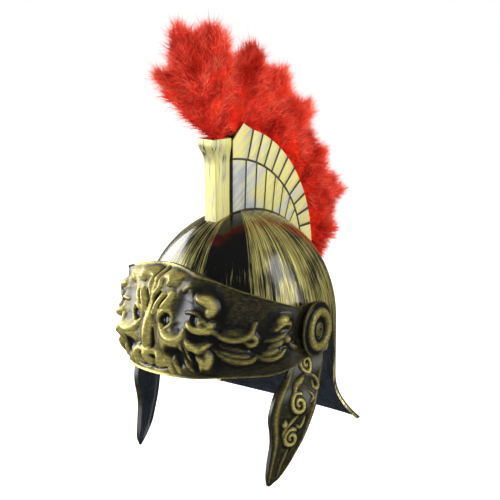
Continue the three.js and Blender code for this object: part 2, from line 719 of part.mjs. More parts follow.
// Outline of the fan as (y, z), grown outwards by a margin
function fanOutline(margin) {
  const outline = [
    [fanFront - margin, bowlHeight * 0.8],
    [fanFront - margin, fanShoulderZ + margin * 0.5],
    [fanPeakY - margin * 0.5, fanPeakZ + margin],
  ];
  for (let turn = 17; turn <= 101; turn += 7) {
    outline.push(fanPoint(fanOuterRadiusY + margin, fanOuterRadiusZ + margin, turn));
  }
  outline.push([fanRearY - 22, bowlHeight * 0.3]);
  return outline;
}

function makeCrestFan() {
  let fan = prismAlongX(fanOutline(0), -fanHalfWidth, fanHalfWidth);
  const slot = [];
  for (let turn = 95; turn >= 0; turn -= 9.5) {
    slot.push(fanPoint(fanInnerRadiusY, fanInnerRadiusZ, turn));
  }
  slot.push([fanFront - 10, fanArcZ + fanInnerRadiusZ], [fanFront - 10, 400], [300, 400], [300, 30]);
  const half = fanHalfWidth - fanWall;
  fan = fan.subtract(prismAlongX(slot, -half, half));
  const across = fanHalfWidth - grooveDepth;
  const cutGroove = (outline) => {
    const both = [
      prismAlongX(outline, across, fanHalfWidth + 5),
      prismAlongX(outline, -fanHalfWidth - 5, -across),
    ];
    for (const cut of both) fan = fan.subtract(cut);
  };
  const arc = [];
  for (let turn = 1; turn <= 91; turn += 9) {
    arc.push(fanPoint(fanInnerRadiusY - grooveWidth / 2, fanInnerRadiusZ - grooveWidth / 2, turn));
  }
  for (let turn = 91; turn >= 1; turn -= 9) {
    arc.push(fanPoint(fanInnerRadiusY + grooveWidth / 2, fanInnerRadiusZ + grooveWidth / 2, turn));
  }
  cutGroove(arc);
  const line = ([ay, az], [by, bz]) => {
    const size = Math.hypot(by - ay, bz - az);
    const ny = (-(bz - az) / size) * (grooveWidth / 2);
    const nz = ((by - ay) / size) * (grooveWidth / 2);
    cutGroove([[ay - ny, az - nz], [by - ny, bz - nz], [by + ny, bz + nz], [ay + ny, az + nz]]);
  };
  const outerPanels = 10;
  for (let i = 0; i < outerPanels; i += 1) {
    const turn = mix(13.5, 77, i / (outerPanels - 1));
    const inner = fanPoint(fanInnerRadiusY + 1.5, fanInnerRadiusZ + 1.5, turn);
    const outer = fanPoint(fanOuterRadiusY + 3, fanOuterRadiusZ + 3, turn + 2.2);
    line(inner, outer);
  }
  const innerPanels = 7;
  for (let i = 0; i < innerPanels; i += 1) {
    const turn = mix(12.5, 66, i / (innerPanels - 1));
    const inner = fanPoint(fanInnerRadiusY - 1.5, fanInnerRadiusZ - 1.5, turn);
    const lean = mix(3, 13, i / (innerPanels - 1));
    line(inner, [inner[0] - lean, mix(inner[1], bowlHeight * 0.75, 0.97)]);
  }
  return geometryOf(fan.subtract(grownDome(clearance)));
}

// Locks of the plume. root is the way along the backing from the post (0) to the rear end (1);
// turn is the way a lock points, in degrees from straight up towards the rear;
// length and wide are shares of the longest lock and of the plume's half width;
// side is the lean to the wearer's left as a share of its length.
const longestLock = 134;
const locks = [
  { root: 0, turn: -50, length: 0.82, wide: 0.62, side: -0.12 },
  { root: 0, turn: -39, length: 0.9, wide: 0.85, side: 0.14 },
  { root: 0.01, turn: -25, length: 0.98, wide: 0.95, side: -0.1 },
  { root: 0.04, turn: -12, length: 0.93, wide: 0.95, side: 0.1 },
  { root: 0.1, turn: -6, length: 0.9, wide: 0.9, side: -0.14 },
  { root: 0.14, turn: 2, length: 0.79, wide: 0.95, side: 0.14 },
  { root: 0.21, turn: 6, length: 0.7, wide: 0.95, side: -0.15 },
  { root: 0.29, turn: 13, length: 0.68, wide: 0.95, side: 0.16 },
  { root: 0.37, turn: 22, length: 0.65, wide: 0.95, side: -0.14 },
  { root: 0.45, turn: 33, length: 0.58, wide: 0.95, side: 0.14 },
  { root: 0.54, turn: 45, length: 0.49, wide: 0.95, side: -0.16 },
  { root: 0.62, turn: 58, length: 0.45, wide: 0.9, side: 0.16 },
  { root: 0.7, turn: 70, length: 0.48, wide: 0.95, side: -0.14 },
  { root: 0.78, turn: 80, length: 0.5, wide: 0.95, side: 0.14 },
  { root: 0.86, turn: 90, length: 0.45, wide: 0.9, side: -0.12 },
  { root: 0.93, turn: 102, length: 0.4, wide: 0.85, side: 0.1 },
  { root: 1, turn: 122, length: 0.36, wide: 0.7, side: -0.08 },
];

// Middle line of the backing as (y, z): up out of the post, over its rear edge, down along the fan
function backingLine(share) {
  const postMiddle = (postFront + postRear) / 2;
  if (share <= 0.1) return [postMiddle, postTop + 2];
  const turn = mix(6, 84, (share - 0.1) / 0.9);
  return fanPoint(fanOuterRadiusY - backingDepth, fanOuterRadiusZ - backingDepth, turn);
}

function makeLock({ root, turn, length, wide, side }) {
  const [y, z] = backingLine(root);
  const size = length * longestLock;
  const half = wide * plumeHalfWidth;
  const sides = 6;
  const stations = [
    { along: -0.03, x: 0.2, thick: 0.26 }, { along: 0.14, x: 0.34, thick: 0.48 },
    { along: 0.36, x: 0.84, thick: 0.74 }, { along: 0.6, x: 1, thick: 0.78 },
    { along: 0.82, x: 0.74, thick: 0.56 }, { along: 0.96, x: 0.28, thick: 0.2 },
  ];
  const rings = stations.map(({ along, x, thick }) => {
    const bend = (turn + 5 * along) * degrees;
    const centre = [
      side * size * along * along,
      y + Math.sin(bend) * size * along,
      z + Math.cos(bend) * size * along,
    ];
    const ring = [];
    for (let i = 0; i < sides; i += 1) {
      const around = (2 * Math.PI * i) / sides;
      const a = Math.cos(around) * half * x;
      const b = Math.sin(around) * half * thick;
      ring.push([centre[0] + a, centre[1] + b * Math.cos(bend), centre[2] - b * Math.sin(bend)]);
    }
    return ring;
  });
  return solidOf(loftOf(rings));
}

function makePlume() {
  let plume = locks.map(makeLock).reduce((sum, lock) => sum.add(lock));
  const over = fanHalfWidth + clearance;
  plume = plume.subtract(prismAlongX(fanOutline(clearance * 2), -over, over));
  const postOver = capitalHalfWidth + clearance;
  const postBox = [
    [capitalFront - 2, 90], [postRear + clearance, 90], [postRear + clearance, postTop + clearance],
    [capitalFront - 2, postTop + clearance],
  ];
  plume = plume.subtract(prismAlongX(postBox, -postOver, postOver));
  const slotHalf = fanHalfWidth - fanWall - clearance;
  const strip = [];
  for (let turn = 4; turn <= 88; turn += 7) {
    strip.push(fanPoint(fanOuterRadiusY + 2, fanOuterRadiusZ + 2, turn));
  }
  for (let turn = 88; turn >= 4; turn -= 7) {
    strip.push(fanPoint(fanOuterRadiusY - backingDepth, fanOuterRadiusZ - backingDepth, turn));
  }
  plume = plume.add(prismAlongX(strip, -slotHalf, slotHalf));
  const stemHalf = postHalfWidth - postWall - clearance;
  const stem = [
    [postFront + postWall + clearance, postShaftTop - 20],
    [postRear - postWall - clearance, postShaftTop - 20],
    [postRear - postWall - clearance, postTop + 3],
    [fanPeakY - 4, postTop + 6], [fanPeakY - 4, postTop + 16],
    [postFront + postWall + clearance, postTop + 16],
  ];
  plume = plume.add(prismAlongX(stem, -stemHalf, stemHalf));
  return geometryOf(plume.subtract(grownDome(2 * clearance)));
}

// Materials: black plastic brushed with antique gold, paler gold on the crest, red feather
const brushedGold = new THREE.MeshStandardMaterial({ color: 0x6e6630, roughness: 0.32, metalness: 0.55 });
const paleGold = new THREE.MeshStandardMaterial({ color: 0xd8d082, roughness: 0.42, metalness: 0.35 });
const redFeather = new THREE.MeshStandardMaterial({ color: 0xe03020, roughness: 0.9, metalness: 0 });

const helmet = new THREE.Group();
helmet.position.z = -(bowlHeight - bowlWall);

function addPiece(name, geometry, material) {
  const piece = new THREE.Mesh(geometry, material);
  piece.name = name;
  helmet.add(piece);
}

addPiece('bowl', makeBowl(), brushedGold);
addPiece('visor', makeVisor(), brushedGold);
addPiece('crest_post', makeCrestPost(), paleGold);
addPiece('crest_fan', makeCrestFan(), paleGold);
addPiece('plume', makePlume(), redFeather);
for (const [name, side] of [['left', 1], ['right', -1]]) {
  addPiece(`cheek_guard_${name}`, makeCheekGuard(side), brushedGold);
  addPiece(`rosette_${name}`, makeRosette(side), brushedGold);
  addPiece(`rivet_${name}`, makeRivet(side), brushedGold);
}

const group = new THREE.Group();
group.add(helmet);
export default group;
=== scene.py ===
import math

import bmesh
import bpy
import numpy as np
from mathutils import Matrix, Vector


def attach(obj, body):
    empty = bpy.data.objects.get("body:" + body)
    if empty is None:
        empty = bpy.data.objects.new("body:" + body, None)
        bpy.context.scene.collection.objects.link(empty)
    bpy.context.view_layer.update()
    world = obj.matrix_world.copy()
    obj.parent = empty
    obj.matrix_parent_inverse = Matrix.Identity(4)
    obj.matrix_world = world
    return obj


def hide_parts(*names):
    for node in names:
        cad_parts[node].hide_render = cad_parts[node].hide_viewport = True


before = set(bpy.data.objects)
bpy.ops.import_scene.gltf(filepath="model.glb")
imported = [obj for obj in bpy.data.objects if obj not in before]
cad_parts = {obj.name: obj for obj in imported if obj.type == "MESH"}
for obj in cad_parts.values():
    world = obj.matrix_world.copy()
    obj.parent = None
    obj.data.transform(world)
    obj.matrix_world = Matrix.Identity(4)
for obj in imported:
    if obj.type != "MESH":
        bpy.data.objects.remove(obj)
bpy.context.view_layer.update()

MM = 0.001
DEGREES = math.pi / 180

# Bowl: an oval dome, a short skirt under it and a neck guard that flares out behind
DOME_WIDE = 94.0  # half width
DOME_LONG = 116.0  # half length
DOME_TALL = 124.0
SHELL = 2.2
SEAT = DOME_TALL - SHELL  # inside top of the dome, where the frame has its origin
SKIRT_DROP = 60.0
BROW = 6.0  # height of the front edge
TAB_DROP = 24.0  # tab in front of the ear, which carries the rivet
TAB_FRONT = -26.0
LIP_WIDE = 128.0  # half axes of the oval that the guard's lower edge follows
LIP_REACH = 136.0
LIP_CORNER = 70.0  # where the guard's lower corners lie along the helmet
LIP_CORNER_DROP = 99.0
LIP_REAR_DROP = 122.0
GUARD_EDGE = 77.0  # front edge of the guard, behind the ear notch
FLARE_POWER = 2.7  # how late the guard turns outwards
NOTCH_WIDE = 27.0
NOTCH_TOP = -8.0

# Pivot line through both rosettes
PIVOT_Y = 8.0
PIVOT_Z = 9.0
SHANK = 2.4
RIVET_HEAD = 4.2
RIVET_RISE = 1.8
HOLE = SHANK + 0.3

# Visor
VISOR_WIDE = 107.0  # half width
VISOR_LONG = 101.0  # reach forward at the bottom
VISOR_TOP_LONG = 78.0
VISOR_MIDDLE = -20.0
VISOR_WALL = 2.0
VISOR_TOP = 79.0
VISOR_DROP = 33.0
EAR_RADIUS = 28.0
EAR_SLOPE = 0.12  # how much the ears close in towards the back
TUCK = 0.1  # how much the bottom edge is drawn in
TUCK_HEIGHT = 34.0
VISOR_ROUND = 2.05  # roundness of the plan: 2 is an oval, more is squarer
VISOR_TOP_ROUND = 2.7
MASK_SWELL = 11.0  # how far the mask stands out
MASK_SHOULDER = 27.0  # degrees round, where the swell begins to fall away
MASK_EDGE = 41.0
MASK_TOP_FADE = 0.83  # share of the height where the swell begins to fade

# Black plastic where the brass paint wore off
BARE_BLACK = "#0B0C0B"

# Paint on the visor: what its plain wall holds, and how much more the mask holds where the paint is
# thin and where it is thick
FLAT_PAINT = 0.41
THIN_FACE_PAINT = 0.08
THICK_FACE_PAINT = 0.45
FACE_PAINT_ENDS = (9.0, 27.0)  # degrees towards the wearer's left over which it thins out

# Cheek guard
CHEEK_WALL = 2.0
CHEEK_TOP_RADIUS = 22.0
CHEEK_SPLAY = 26.0  # how far the guard stands out at its widest splay
CHEEK_CROWN = 2.0
TRAY_DEEP = 6.0
TRAY_REAR = 3.2
CHEEK_BEVEL = 1.0
CHEEK_LONG = 180.0
CHEEK_WIDE = 52.0
CHEEK_TOP = PIVOT_Z + CHEEK_TOP_RADIUS
CHEEK_FACE = DOME_WIDE + 0.9 + CHEEK_WALL
SCROLL_WIDE = 7.0
SCROLL_RISE = 2.6

# Rosette
ROSETTE_RADIUS = 29.8
ROSETTE_TURN = 14.0  # degrees that it turns towards the face
ROSETTE_RISE = 4.4  # how far its boss stands above its rim
EAR_FACE = VISOR_WIDE - (PIVOT_Y - VISOR_MIDDLE) * EAR_SLOPE
EAR_TURN = math.atan(EAR_SLOPE)
ROSETTE_FACE = EAR_FACE + ROSETTE_RADIUS * math.sin(ROSETTE_TURN * DEGREES - EAR_TURN)
RIVET_LEDGE = ROSETTE_FACE + ROSETTE_RISE - RIVET_RISE * 0.6

# Crest post
POST_HALF = 9.0
POST_FRONT = -42.5
POST_REAR = -22.5
POST_SHAFT = 181.0
POST_TOP = 203.0
POST_FLOOR = 132.0
POST_WALL = 2.0
CAPITAL_HALF = 12.0
CAPITAL_FRONT = -49.5
CAPITAL_BAND = 5.0
POST_CORNER = 1.1  # radius of its rounded corners
HOLLOW_CORNER = 0.8
CLEAR_OF_DOME = 122.0

# Crest fan: its bands are ovals round FAN_MIDDLE, with half axes along and up
FAN_HALF = 10.0
FAN_WALL = 2.0
FAN_FRONT = -19.0
FAN_PEAK = (-3.0, 217.0)
FAN_SHOULDER = 200.0
FAN_REAR = 101.0
FAN_MIDDLE = (-22.0, 70.0)
FAN_INNER = (107.0, 110.0)
FAN_OUTER = (124.0, 144.0)
GROOVE = 2.4
PLATE_RISE = 0.7
OUTER_GROOVES = (13.5, 77, 10)  # first and last groove in degrees from upright, and how many
INNER_GROOVES = (12.5, 66, 7)
PLATE_LEAN = 2.2  # degrees that the outer grooves lean back on their way out
FIRST_TURN = 1.8  # degrees from upright at which both bands begin
OUTER_LAST_TURN = 82.3  # where they end, along the outer band's lower edge, its rim and the inner band
RIM_LAST_TURN = 94
INNER_LAST_TURN = 81.6
FAN_SUNK = (95, 37)  # height of its front and rear corner, sunk in the dome until that trims them
PLATE_LIFT = 1.8  # gap between plates and dome

# Plume
HEART_VOXEL = 2.6
LUMP_WIDE = 13.0
DRAWN_IN = 15.0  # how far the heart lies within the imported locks, where the barbs stand on it
ROOT_KEPT = 0.12  # share of the draw-in that is left at the roots
ROOT_REACH = 26.0  # height over the post at which the draw-in is full
BARB_THICK = 0.014  # radius of a barb, as a share of its length
TUFT_WIDE = 12.0

# Studio: the camera, worked out from the photo (degrees round and up, place in mm, lens over sensor
# width), and in metres the point that the lights face and the floor
CAMERA_AZIMUTH = 45.5
CAMERA_RISE = 11.3
CAMERA_PLACE = (1350.7, -1311.3, 454.7)
LENS_PER_SENSOR = 3.576
SENSOR_WIDE = 36
LIGHTS_AIM = (0, 0, -0.05)
FLOOR_Z = -0.3
FLOOR_HALF = 4


def mix(a, b, share):
    """Value part of the way from a to b."""
    return a + (b - a) * share


def smooth(value, low, high):
    """0 below low, 1 above high and an eased step between."""
    share = np.clip((value - low) / (high - low), 0, 1)
    return share * share * (3 - 2 * share)


def colour(code):
    """sRGB hex to the linear colour that a socket takes."""
    parts = [int(code[i:i + 2], 16) / 255 for i in (1, 3, 5)]
    return tuple(p / 12.92 if p <= 0.04045 else ((p + 0.055) / 1.055) ** 2.4 for p in parts) + (1.0,)


def put(points):
    """Points round the middle of the dome, in mm, as frame points in metres."""
    placed = np.asarray(points, float).reshape(-1, 3) * MM
    placed[:, 2] -= SEAT * MM
    return placed


def add(tree, kind, settings=None, inputs=None):
    """Adds a node, sets its fields and ramp stops, and links or sets its inputs."""
    made = tree.nodes.new(kind)
    for name, value in (settings or {}).items():
        if name == "stops":
            stops = made.color_ramp.elements
            while len(stops) < len(value):
                stops.new(0.5)
            for stop, (place, tone) in zip(stops, value):
                stop.position = place
                stop.color = colour(tone) if isinstance(tone, str) else (tone, tone, tone, 1)
        else:
            setattr(made, name, value)
    for name, value in (inputs or {}).items():
        if isinstance(value, bpy.types.NodeSocket):
            tree.links.new(value, made.inputs[name])
        else:
            made.inputs[name].default_value = value
    return made


def new_material(name):
    """Empty material, with its tree and output node."""
    material = bpy.data.materials.new(name)
    material.use_nodes = True
    tree = material.node_tree
    tree.nodes.clear()
    output = tree.nodes.new("ShaderNodeOutputMaterial")
    return material, tree, output


def noise(tree, place, scale, detail, roughness=0.5):
    """Noise node, with its scale in cells a metre."""
    return add(tree, "ShaderNodeTexNoise", inputs={
        "Vector": place, "Scale": scale, "Detail": detail, "Roughness": roughness})


def over(tree, top, share, under):
    """One value times a share, laid over another."""
    made = add(tree, "ShaderNodeMath", {"operation": "MULTIPLY_ADD"}, {0: top, 1: share, 2: under})
    return made.outputs[0]


def ramp(tree, value, *stops):
    """Colour ramp over a value."""
    return add(tree, "ShaderNodeValToRGB", {"stops": stops}, {0: value}).outputs[0]


def mapped(tree, value, start=0, end=1, low=0, high=1):
    """Value with the stretch from start to end turned into low to high."""
    made = add(tree, "ShaderNodeMapRange", inputs={
        "Value": value, "From Min": start, "From Max": end, "To Min": low, "To Max": high})
    return made.outputs[0]


def bumped(tree, height, strength, distance):
    """Normal of a surface with fine unevenness, its depth in mm."""
    made = add(tree, "ShaderNodeBump", inputs={
        "Strength": strength, "Distance": distance * MM, "Height": height})
    return made.outputs[0]


def surface(tree, output, inputs):
    """Ends a material in a Principled shader."""
    shader = add(tree, "ShaderNodeBsdfPrincipled", inputs=inputs)
    tree.links.new(shader.outputs[0], output.inputs[0])


def brushed_brass_on_black_plastic():
    """Black ABS, injection moulded and glossy, dry-brushed with brass paint from the crown down:
    meridional streaks of olive gold, with black gloss between them that mirrors the softboxes."""
    material, tree, output = new_material("brushed_brass_on_black_abs")
    place = add(tree, "ShaderNodeTexCoord").outputs["Object"]
    split = add(tree, "ShaderNodeSeparateXYZ", inputs={0: place})
    flat = add(tree, "ShaderNodeVectorMath", {"operation": "MULTIPLY"}, {0: place, 1: (1.25, 1, 0)})
    around = add(tree, "ShaderNodeVectorMath", {"operation": "NORMALIZE"}, {0: flat.outputs[0]})
    down = add(tree, "ShaderNodeMath", {"operation": "MULTIPLY"}, {0: split.outputs["Z"], 1: 0.035})
    fall = add(tree, "ShaderNodeCombineXYZ", inputs={"Z": down.outputs[0]})
    # The strokes are laid out on a ring a tenth of a metre in radius
    stroke = add(tree, "ShaderNodeVectorMath", {"operation": "MULTIPLY_ADD"},
                 {0: around.outputs[0], 1: (0.1, 0.1, 0.1), 2: fall.outputs[0]}).outputs[0]
    # Brush strokes about 3.5 mm wide, bristle marks about 1 mm, patches about 40 mm
    streak = noise(tree, stroke, 290, 6, 0.72)
    bristle = noise(tree, stroke, 950, 3, 0.6)
    patch = noise(tree, place, 24, 2)
    both = over(tree, bristle.outputs["Fac"], 0.45, streak.outputs["Fac"])
    # A stretch about 30 degrees wide, ahead of the wearer's left where the dome faces the camera, holds
    # less paint: painted shade, standing in for the dark front that the black gloss mirrors there
    bare = add(tree, "ShaderNodeVectorMath", {"operation": "DOT_PRODUCT"},
               {0: around.outputs[0], 1: (0.68, -0.73, 0)})
    painted_shade_stretch = mapped(tree, bare.outputs["Value"], 0.94, 0.985, 0, -0.2)
    loose = over(tree, patch.outputs["Fac"], 0.5, both)
    full = add(tree, "ShaderNodeMath", {"operation": "ADD"}, {0: loose, 1: painted_shade_stretch})
    # The summed noise leaves bare plastic under 0.9 and full paint over 1.1
    paint = mapped(tree, full.outputs[0], 0.9, 1.1)
    gold = ramp(tree, bristle.outputs["Fac"], (0.25, "#3E3814"), (0.45, "#8A7F38"), (0.65, "#CCC47E"))
    base = add(tree, "ShaderNodeMix", {"data_type": "RGBA"}, {0: paint, 6: colour(BARE_BLACK), 7: gold})
    metal = add(tree, "ShaderNodeMath", {"operation": "MULTIPLY"}, {0: paint, 1: 0.62})
    surface(tree, output, {
        "Base Color": base.outputs[2], "Metallic": metal.outputs[0],
        "Roughness": mapped(tree, paint, low=0.16, high=0.38), "Normal": bumped(tree, both, 0.25, 0.2),
        "Coat Weight": 0.25, "Coat Roughness": 0.12})
    return material


def rubbed_brass_on_black_plastic():
    """Black ABS with cast relief. Brass paint was rubbed over it, so it sits on the ridges and
    rims, thins out on their flanks and leaves the hollows black, with a soft sheen over all."""
    material, tree, output = new_material("rubbed_brass_on_black_abs")
    place = add(tree, "ShaderNodeTexCoord").outputs["Object"]
    worn = add(tree, "ShaderNodeAttribute", {"attribute_name": "rubbed"}).outputs["Fac"]
    along = add(tree, "ShaderNodeMapping", inputs={"Vector": place, "Scale": (1, 1, 3.2)})
    # Rag marks about 6 mm long and 2 mm high, speckle about 1 mm
    rag = noise(tree, along.outputs[0], 170, 6, 0.76)
    speckle = noise(tree, place, 900, 2)
    spread = over(tree, rag.outputs["Fac"], 0.9, worn)
    paint = mapped(tree, over(tree, speckle.outputs["Fac"], 0.25, spread), 0.86, 1.62)
    gold = ramp(tree, paint, (0.0, "#302A0F"), (0.5, "#756A2C"), (1.0, "#B5AB60"))
    base = add(tree, "ShaderNodeMix", {"data_type": "RGBA"}, {0: paint, 6: colour(BARE_BLACK), 7: gold})
    metal = add(tree, "ShaderNodeMath", {"operation": "MULTIPLY"}, {0: paint, 1: 0.5})
    surface(tree, output, {
        "Base Color": base.outputs[2], "Metallic": metal.outputs[0],
        "Roughness": mapped(tree, paint, low=0.33, high=0.47),
        "Normal": bumped(tree, rag.outputs["Fac"], 0.2, 0.3)})
    return material


def black_plastic_with_painted_sheen():
    """Bare black ABS on the inside, glossy from the mould with a faint orange peel, its colour lifted
    to a dark blue-grey that is painted sheen.
    """
    material, tree, output = new_material("black_moulded_abs_with_painted_sheen")
    place = add(tree, "ShaderNodeTexCoord").outputs["Object"]
    # Flow marks about 15 mm across, peel about 2 mm
    flow = noise(tree, place, 65, 2).outputs["Fac"]
    peel = noise(tree, place, 480, 2).outputs["Fac"]
    surface(tree, output, {
        # The dark blue-grey, lighter than bare black plastic, is painted sheen
        "Base Color": ramp(tree, flow, (0.3, "#191D22"), (0.7, "#242A31")),
        "Roughness": mapped(tree, flow, low=0.2, high=0.34), "Normal": bumped(tree, peel, 0.12, 0.3)})
    return material


def pale_brass_paint(name, lean, stretch, thin, bare):
    """Pale brass paint, brushed thinly over plastic: cream gold with fine strokes where the brush
    ran dry. lean turns the strokes and stretch draws them out. thin is how much less paint there
    is low at the front of the plates, and bare has both tones of the plastic under it."""
    material, tree, output = new_material(name)
    place = add(tree, "ShaderNodeTexCoord").outputs["Object"]
    turned = add(tree, "ShaderNodeMapping", inputs={
        "Vector": place, "Rotation": (lean * DEGREES, 0, 0)})
    stroke = add(tree, "ShaderNodeMapping", inputs={
        "Vector": turned.outputs[0], "Scale": (1, 1, stretch)}).outputs[0]
    # Strokes about 4 mm wide, hairs about 0.9 mm, patches about 25 mm
    streak = noise(tree, stroke, 230, 4, 0.65)
    hair = noise(tree, stroke, 1100, 2, 0.55)
    patch = noise(tree, place, 40, 2)
    both = over(tree, hair.outputs["Fac"], 0.5, streak.outputs["Fac"])
    full = over(tree, patch.outputs["Fac"], 0.35, both)
    split = add(tree, "ShaderNodeSeparateXYZ", inputs={0: place})
    front = mapped(tree, split.outputs["Y"], 0, 0.034, 1, 0)
    lowest = mapped(tree, split.outputs["Z"], 0.048, 0.056, -thin, 0)
    tone = mapped(tree, over(tree, front, lowest, full), 0.7, 1.12)
    surface(tree, output, {
        "Base Color": ramp(tree, tone, (0.0, bare[0]), (0.2, bare[1]), (0.36, "#A5A386"),
                           (0.5, "#B4AD64"), (1.0, "#BFB873")),
        "Metallic": 0.25, "Roughness": mapped(tree, both, 0.4, 1.1, 0.3, 0.5),
        "Normal": bumped(tree, both, 0.2, 0.2)})
    return material


def dark_groove_paint():
    """Olive black paint left in the grooves between the plates, satin and a little uneven."""
    material, tree, output = new_material("olive_black_groove_paint")
    place = add(tree, "ShaderNodeTexCoord").outputs["Object"]
    # Patches about 3 mm across
    patch = noise(tree, place, 300, 3).outputs["Fac"]
    surface(tree, output, {
        "Base Color": ramp(tree, patch, (0.35, "#15150D"), (0.75, "#37351C")), "Roughness": 0.45})
    return material


def red_marabou():
    """Dyed marabou down: soft matt barbs, deep red at the root and pink where they thin out, the pink
    being painted light shining through the thin ends.
    """
    material, tree, output = new_material("red_marabou_down")
    place = add(tree, "ShaderNodeTexCoord").outputs["Object"]
    along = add(tree, "ShaderNodeAttribute", {"attribute_name": "along"}).outputs["Fac"]
    # Tufts of one tone about 35 mm across
    tuft = noise(tree, place, 29, 4).outputs["Fac"]
    deep = ramp(tree, tuft, (0.36, "#AE0A02"), (0.5, "#E02004"), (0.66, "#F4360A"))
    light = ramp(tree, tuft, (0.36, "#EC3A18"), (0.68, "#FF957A"))
    # From root to tip the barbs turn from the deep tones to the light ones: painted light through the thin
    # ends
    base = add(tree, "ShaderNodeMix", {"data_type": "RGBA"}, {0: along, 6: deep, 7: light})
    surface(tree, output, {
        "Base Color": base.outputs[2], "Roughness": 0.75, "Sheen Weight": 0.08,
        "Sheen Tint": colour("#FF8C78"), "Specular IOR Level": 0.2})
    return material


def linked(name, data):
    """New object in the scene, from a mesh, light or camera."""
    made = bpy.data.objects.new(name, data)
    bpy.context.scene.collection.objects.link(made)
    return made


def mesh_object(name, points, faces, materials):
    """Mesh object from frame points in metres."""
    mesh = bpy.data.meshes.new(name)
    mesh.from_pydata([tuple(p) for p in points], [], faces)
    for material in materials:
        mesh.materials.append(material)
    return linked(name, mesh)


def tidy_mesh(piece, angle=35.0, turn=True):
    """Merges doubles, turns the faces outwards and shades the surface smooth up to an angle."""
    work = bmesh.new()
    work.from_mesh(piece.data)
    bmesh.ops.remove_doubles(work, verts=work.verts, dist=1e-7)
    if turn:
        bmesh.ops.recalc_face_normals(work, faces=work.faces)
    for face in work.faces:
        face.smooth = True
    for edge in work.edges:
        if len(edge.link_faces) == 2 and edge.calc_face_angle(0) > angle * DEGREES:
            edge.smooth = False
    work.to_mesh(piece.data)
    work.free()
    return piece


def baked(piece):
    """Replaces the object's mesh by its evaluated one and takes the modifiers off."""
    graph = bpy.context.evaluated_depsgraph_get()
    mesh = bpy.data.meshes.new_from_object(piece.evaluated_get(graph), depsgraph=graph)
    piece.modifiers.clear()
    piece.data = mesh
    return piece


def joined(parts):
    """Joins the later mesh objects into the first."""
    for part in bpy.context.selected_objects:
        part.select_set(False)
    for part in parts:
        part.select_set(True)
    bpy.context.view_layer.objects.active = parts[0]
    bpy.ops.object.join()
    return parts[0]


def cut(piece, *cutters):
    """Cuts solids out of a piece."""
    for cutter in cutters:
        modifier = piece.modifiers.new("cut", "BOOLEAN")
        modifier.operation = "DIFFERENCE"
        modifier.solver = "EXACT"
        modifier.object = cutter
    baked(piece)
    for cutter in cutters:
        bpy.data.objects.remove(cutter)
    return piece


def prism(outline, low, high):
    """Solid across the helmet, from an outline drawn as (y, z)."""
    count = len(outline)
    points = [(low, y, z) for y, z in outline] + [(high, y, z) for y, z in outline]
    faces = [list(range(count))[::-1], list(range(count, 2 * count))]
    faces += [[i, (i + 1) % count, (i + 1) % count + count, i + count] for i in range(count)]
    return tidy_mesh(mesh_object("prism", put(points), faces, []))


def bar(radius, low, high, sides=32):
    """Round bar on the pivot line."""
    turns = [2 * math.pi * i / sides for i in range(sides)]
    return prism([(PIVOT_Y + radius * math.cos(t), PIVOT_Z + radius * math.sin(t)) for t in turns],
                 low, high)


def grown_dome(margin):
    """Dome grown by a margin, to trim what stands on it."""
    work = bmesh.new()
    bmesh.ops.create_uvsphere(work, u_segments=96, v_segments=64, radius=1)
    size = [(DOME_WIDE + margin) * MM, (DOME_LONG + margin) * MM, (DOME_TALL + margin) * MM]
    bmesh.ops.scale(work, vec=size, verts=work.verts)
    bmesh.ops.translate(work, vec=(0, 0, -SEAT * MM), verts=work.verts)
    mesh = bpy.data.meshes.new("dome")
    work.to_mesh(mesh)
    work.free()
    return linked("dome", mesh)


def sheet_faces(start, across, down, flip=False, closed=False):
    """Quads of a grid of points numbered from start, column by column."""
    faces = []
    for i in range(across if closed else across - 1):
        left = start + i * down
        right = start + ((i + 1) % across) * down
        for j in range(down - 1):
            quad = [left + j, right + j, right + j + 1, left + j + 1]
            faces.append(quad[::-1] if flip else quad)
    return faces


def tube_faces(rings, count):
    """Quads round a stack of closed rings, each of count points."""
    faces = []
    for i in range(rings - 1):
        for j in range(count):
            k = (j + 1) % count
            faces.append([i * count + j, i * count + k, (i + 1) * count + k, (i + 1) * count + j])
    return faces


def lathe(profile, sides, name, materials):
    """Closed body turned round +X from (out, along) points that start and end on the axis."""
    inner = profile[1:-1]
    points = [(profile[0][1], 0, 0), (profile[-1][1], 0, 0)]
    for i in range(sides):
        turn = 2 * math.pi * i / sides
        points += [(along, out * math.cos(turn), out * math.sin(turn)) for out, along in inner]
    down = len(inner)
    faces = sheet_faces(2, sides, down, closed=True)
    for i in range(sides):
        k = (i + 1) % sides
        faces.append([0, 2 + k * down, 2 + i * down])
        faces.append([1, 2 + i * down + down - 1, 2 + k * down + down - 1])
    return mesh_object(name, np.array(points) * MM, faces, materials)


def through(points, count):
    """Points on a smooth curve through the given ones."""
    points = np.asarray(points, float)
    if len(points) == 2:
        return mix(points[0], points[1], np.linspace(0, 1, count)[:, None])
    padded = np.vstack([2 * points[0] - points[1], points, 2 * points[-1] - points[-2]])
    out = []
    for place in np.linspace(0, len(points) - 1 - 1e-9, count):
        i = int(place)
        t = place - i
        a, b, c, d = padded[i:i + 4]
        out.append(0.5 * (2 * b + (c - a) * t + (2 * a - 5 * b + 4 * c - d) * t ** 2
                          + (3 * b - a - 3 * c + d) * t ** 3))
    return np.array(out)


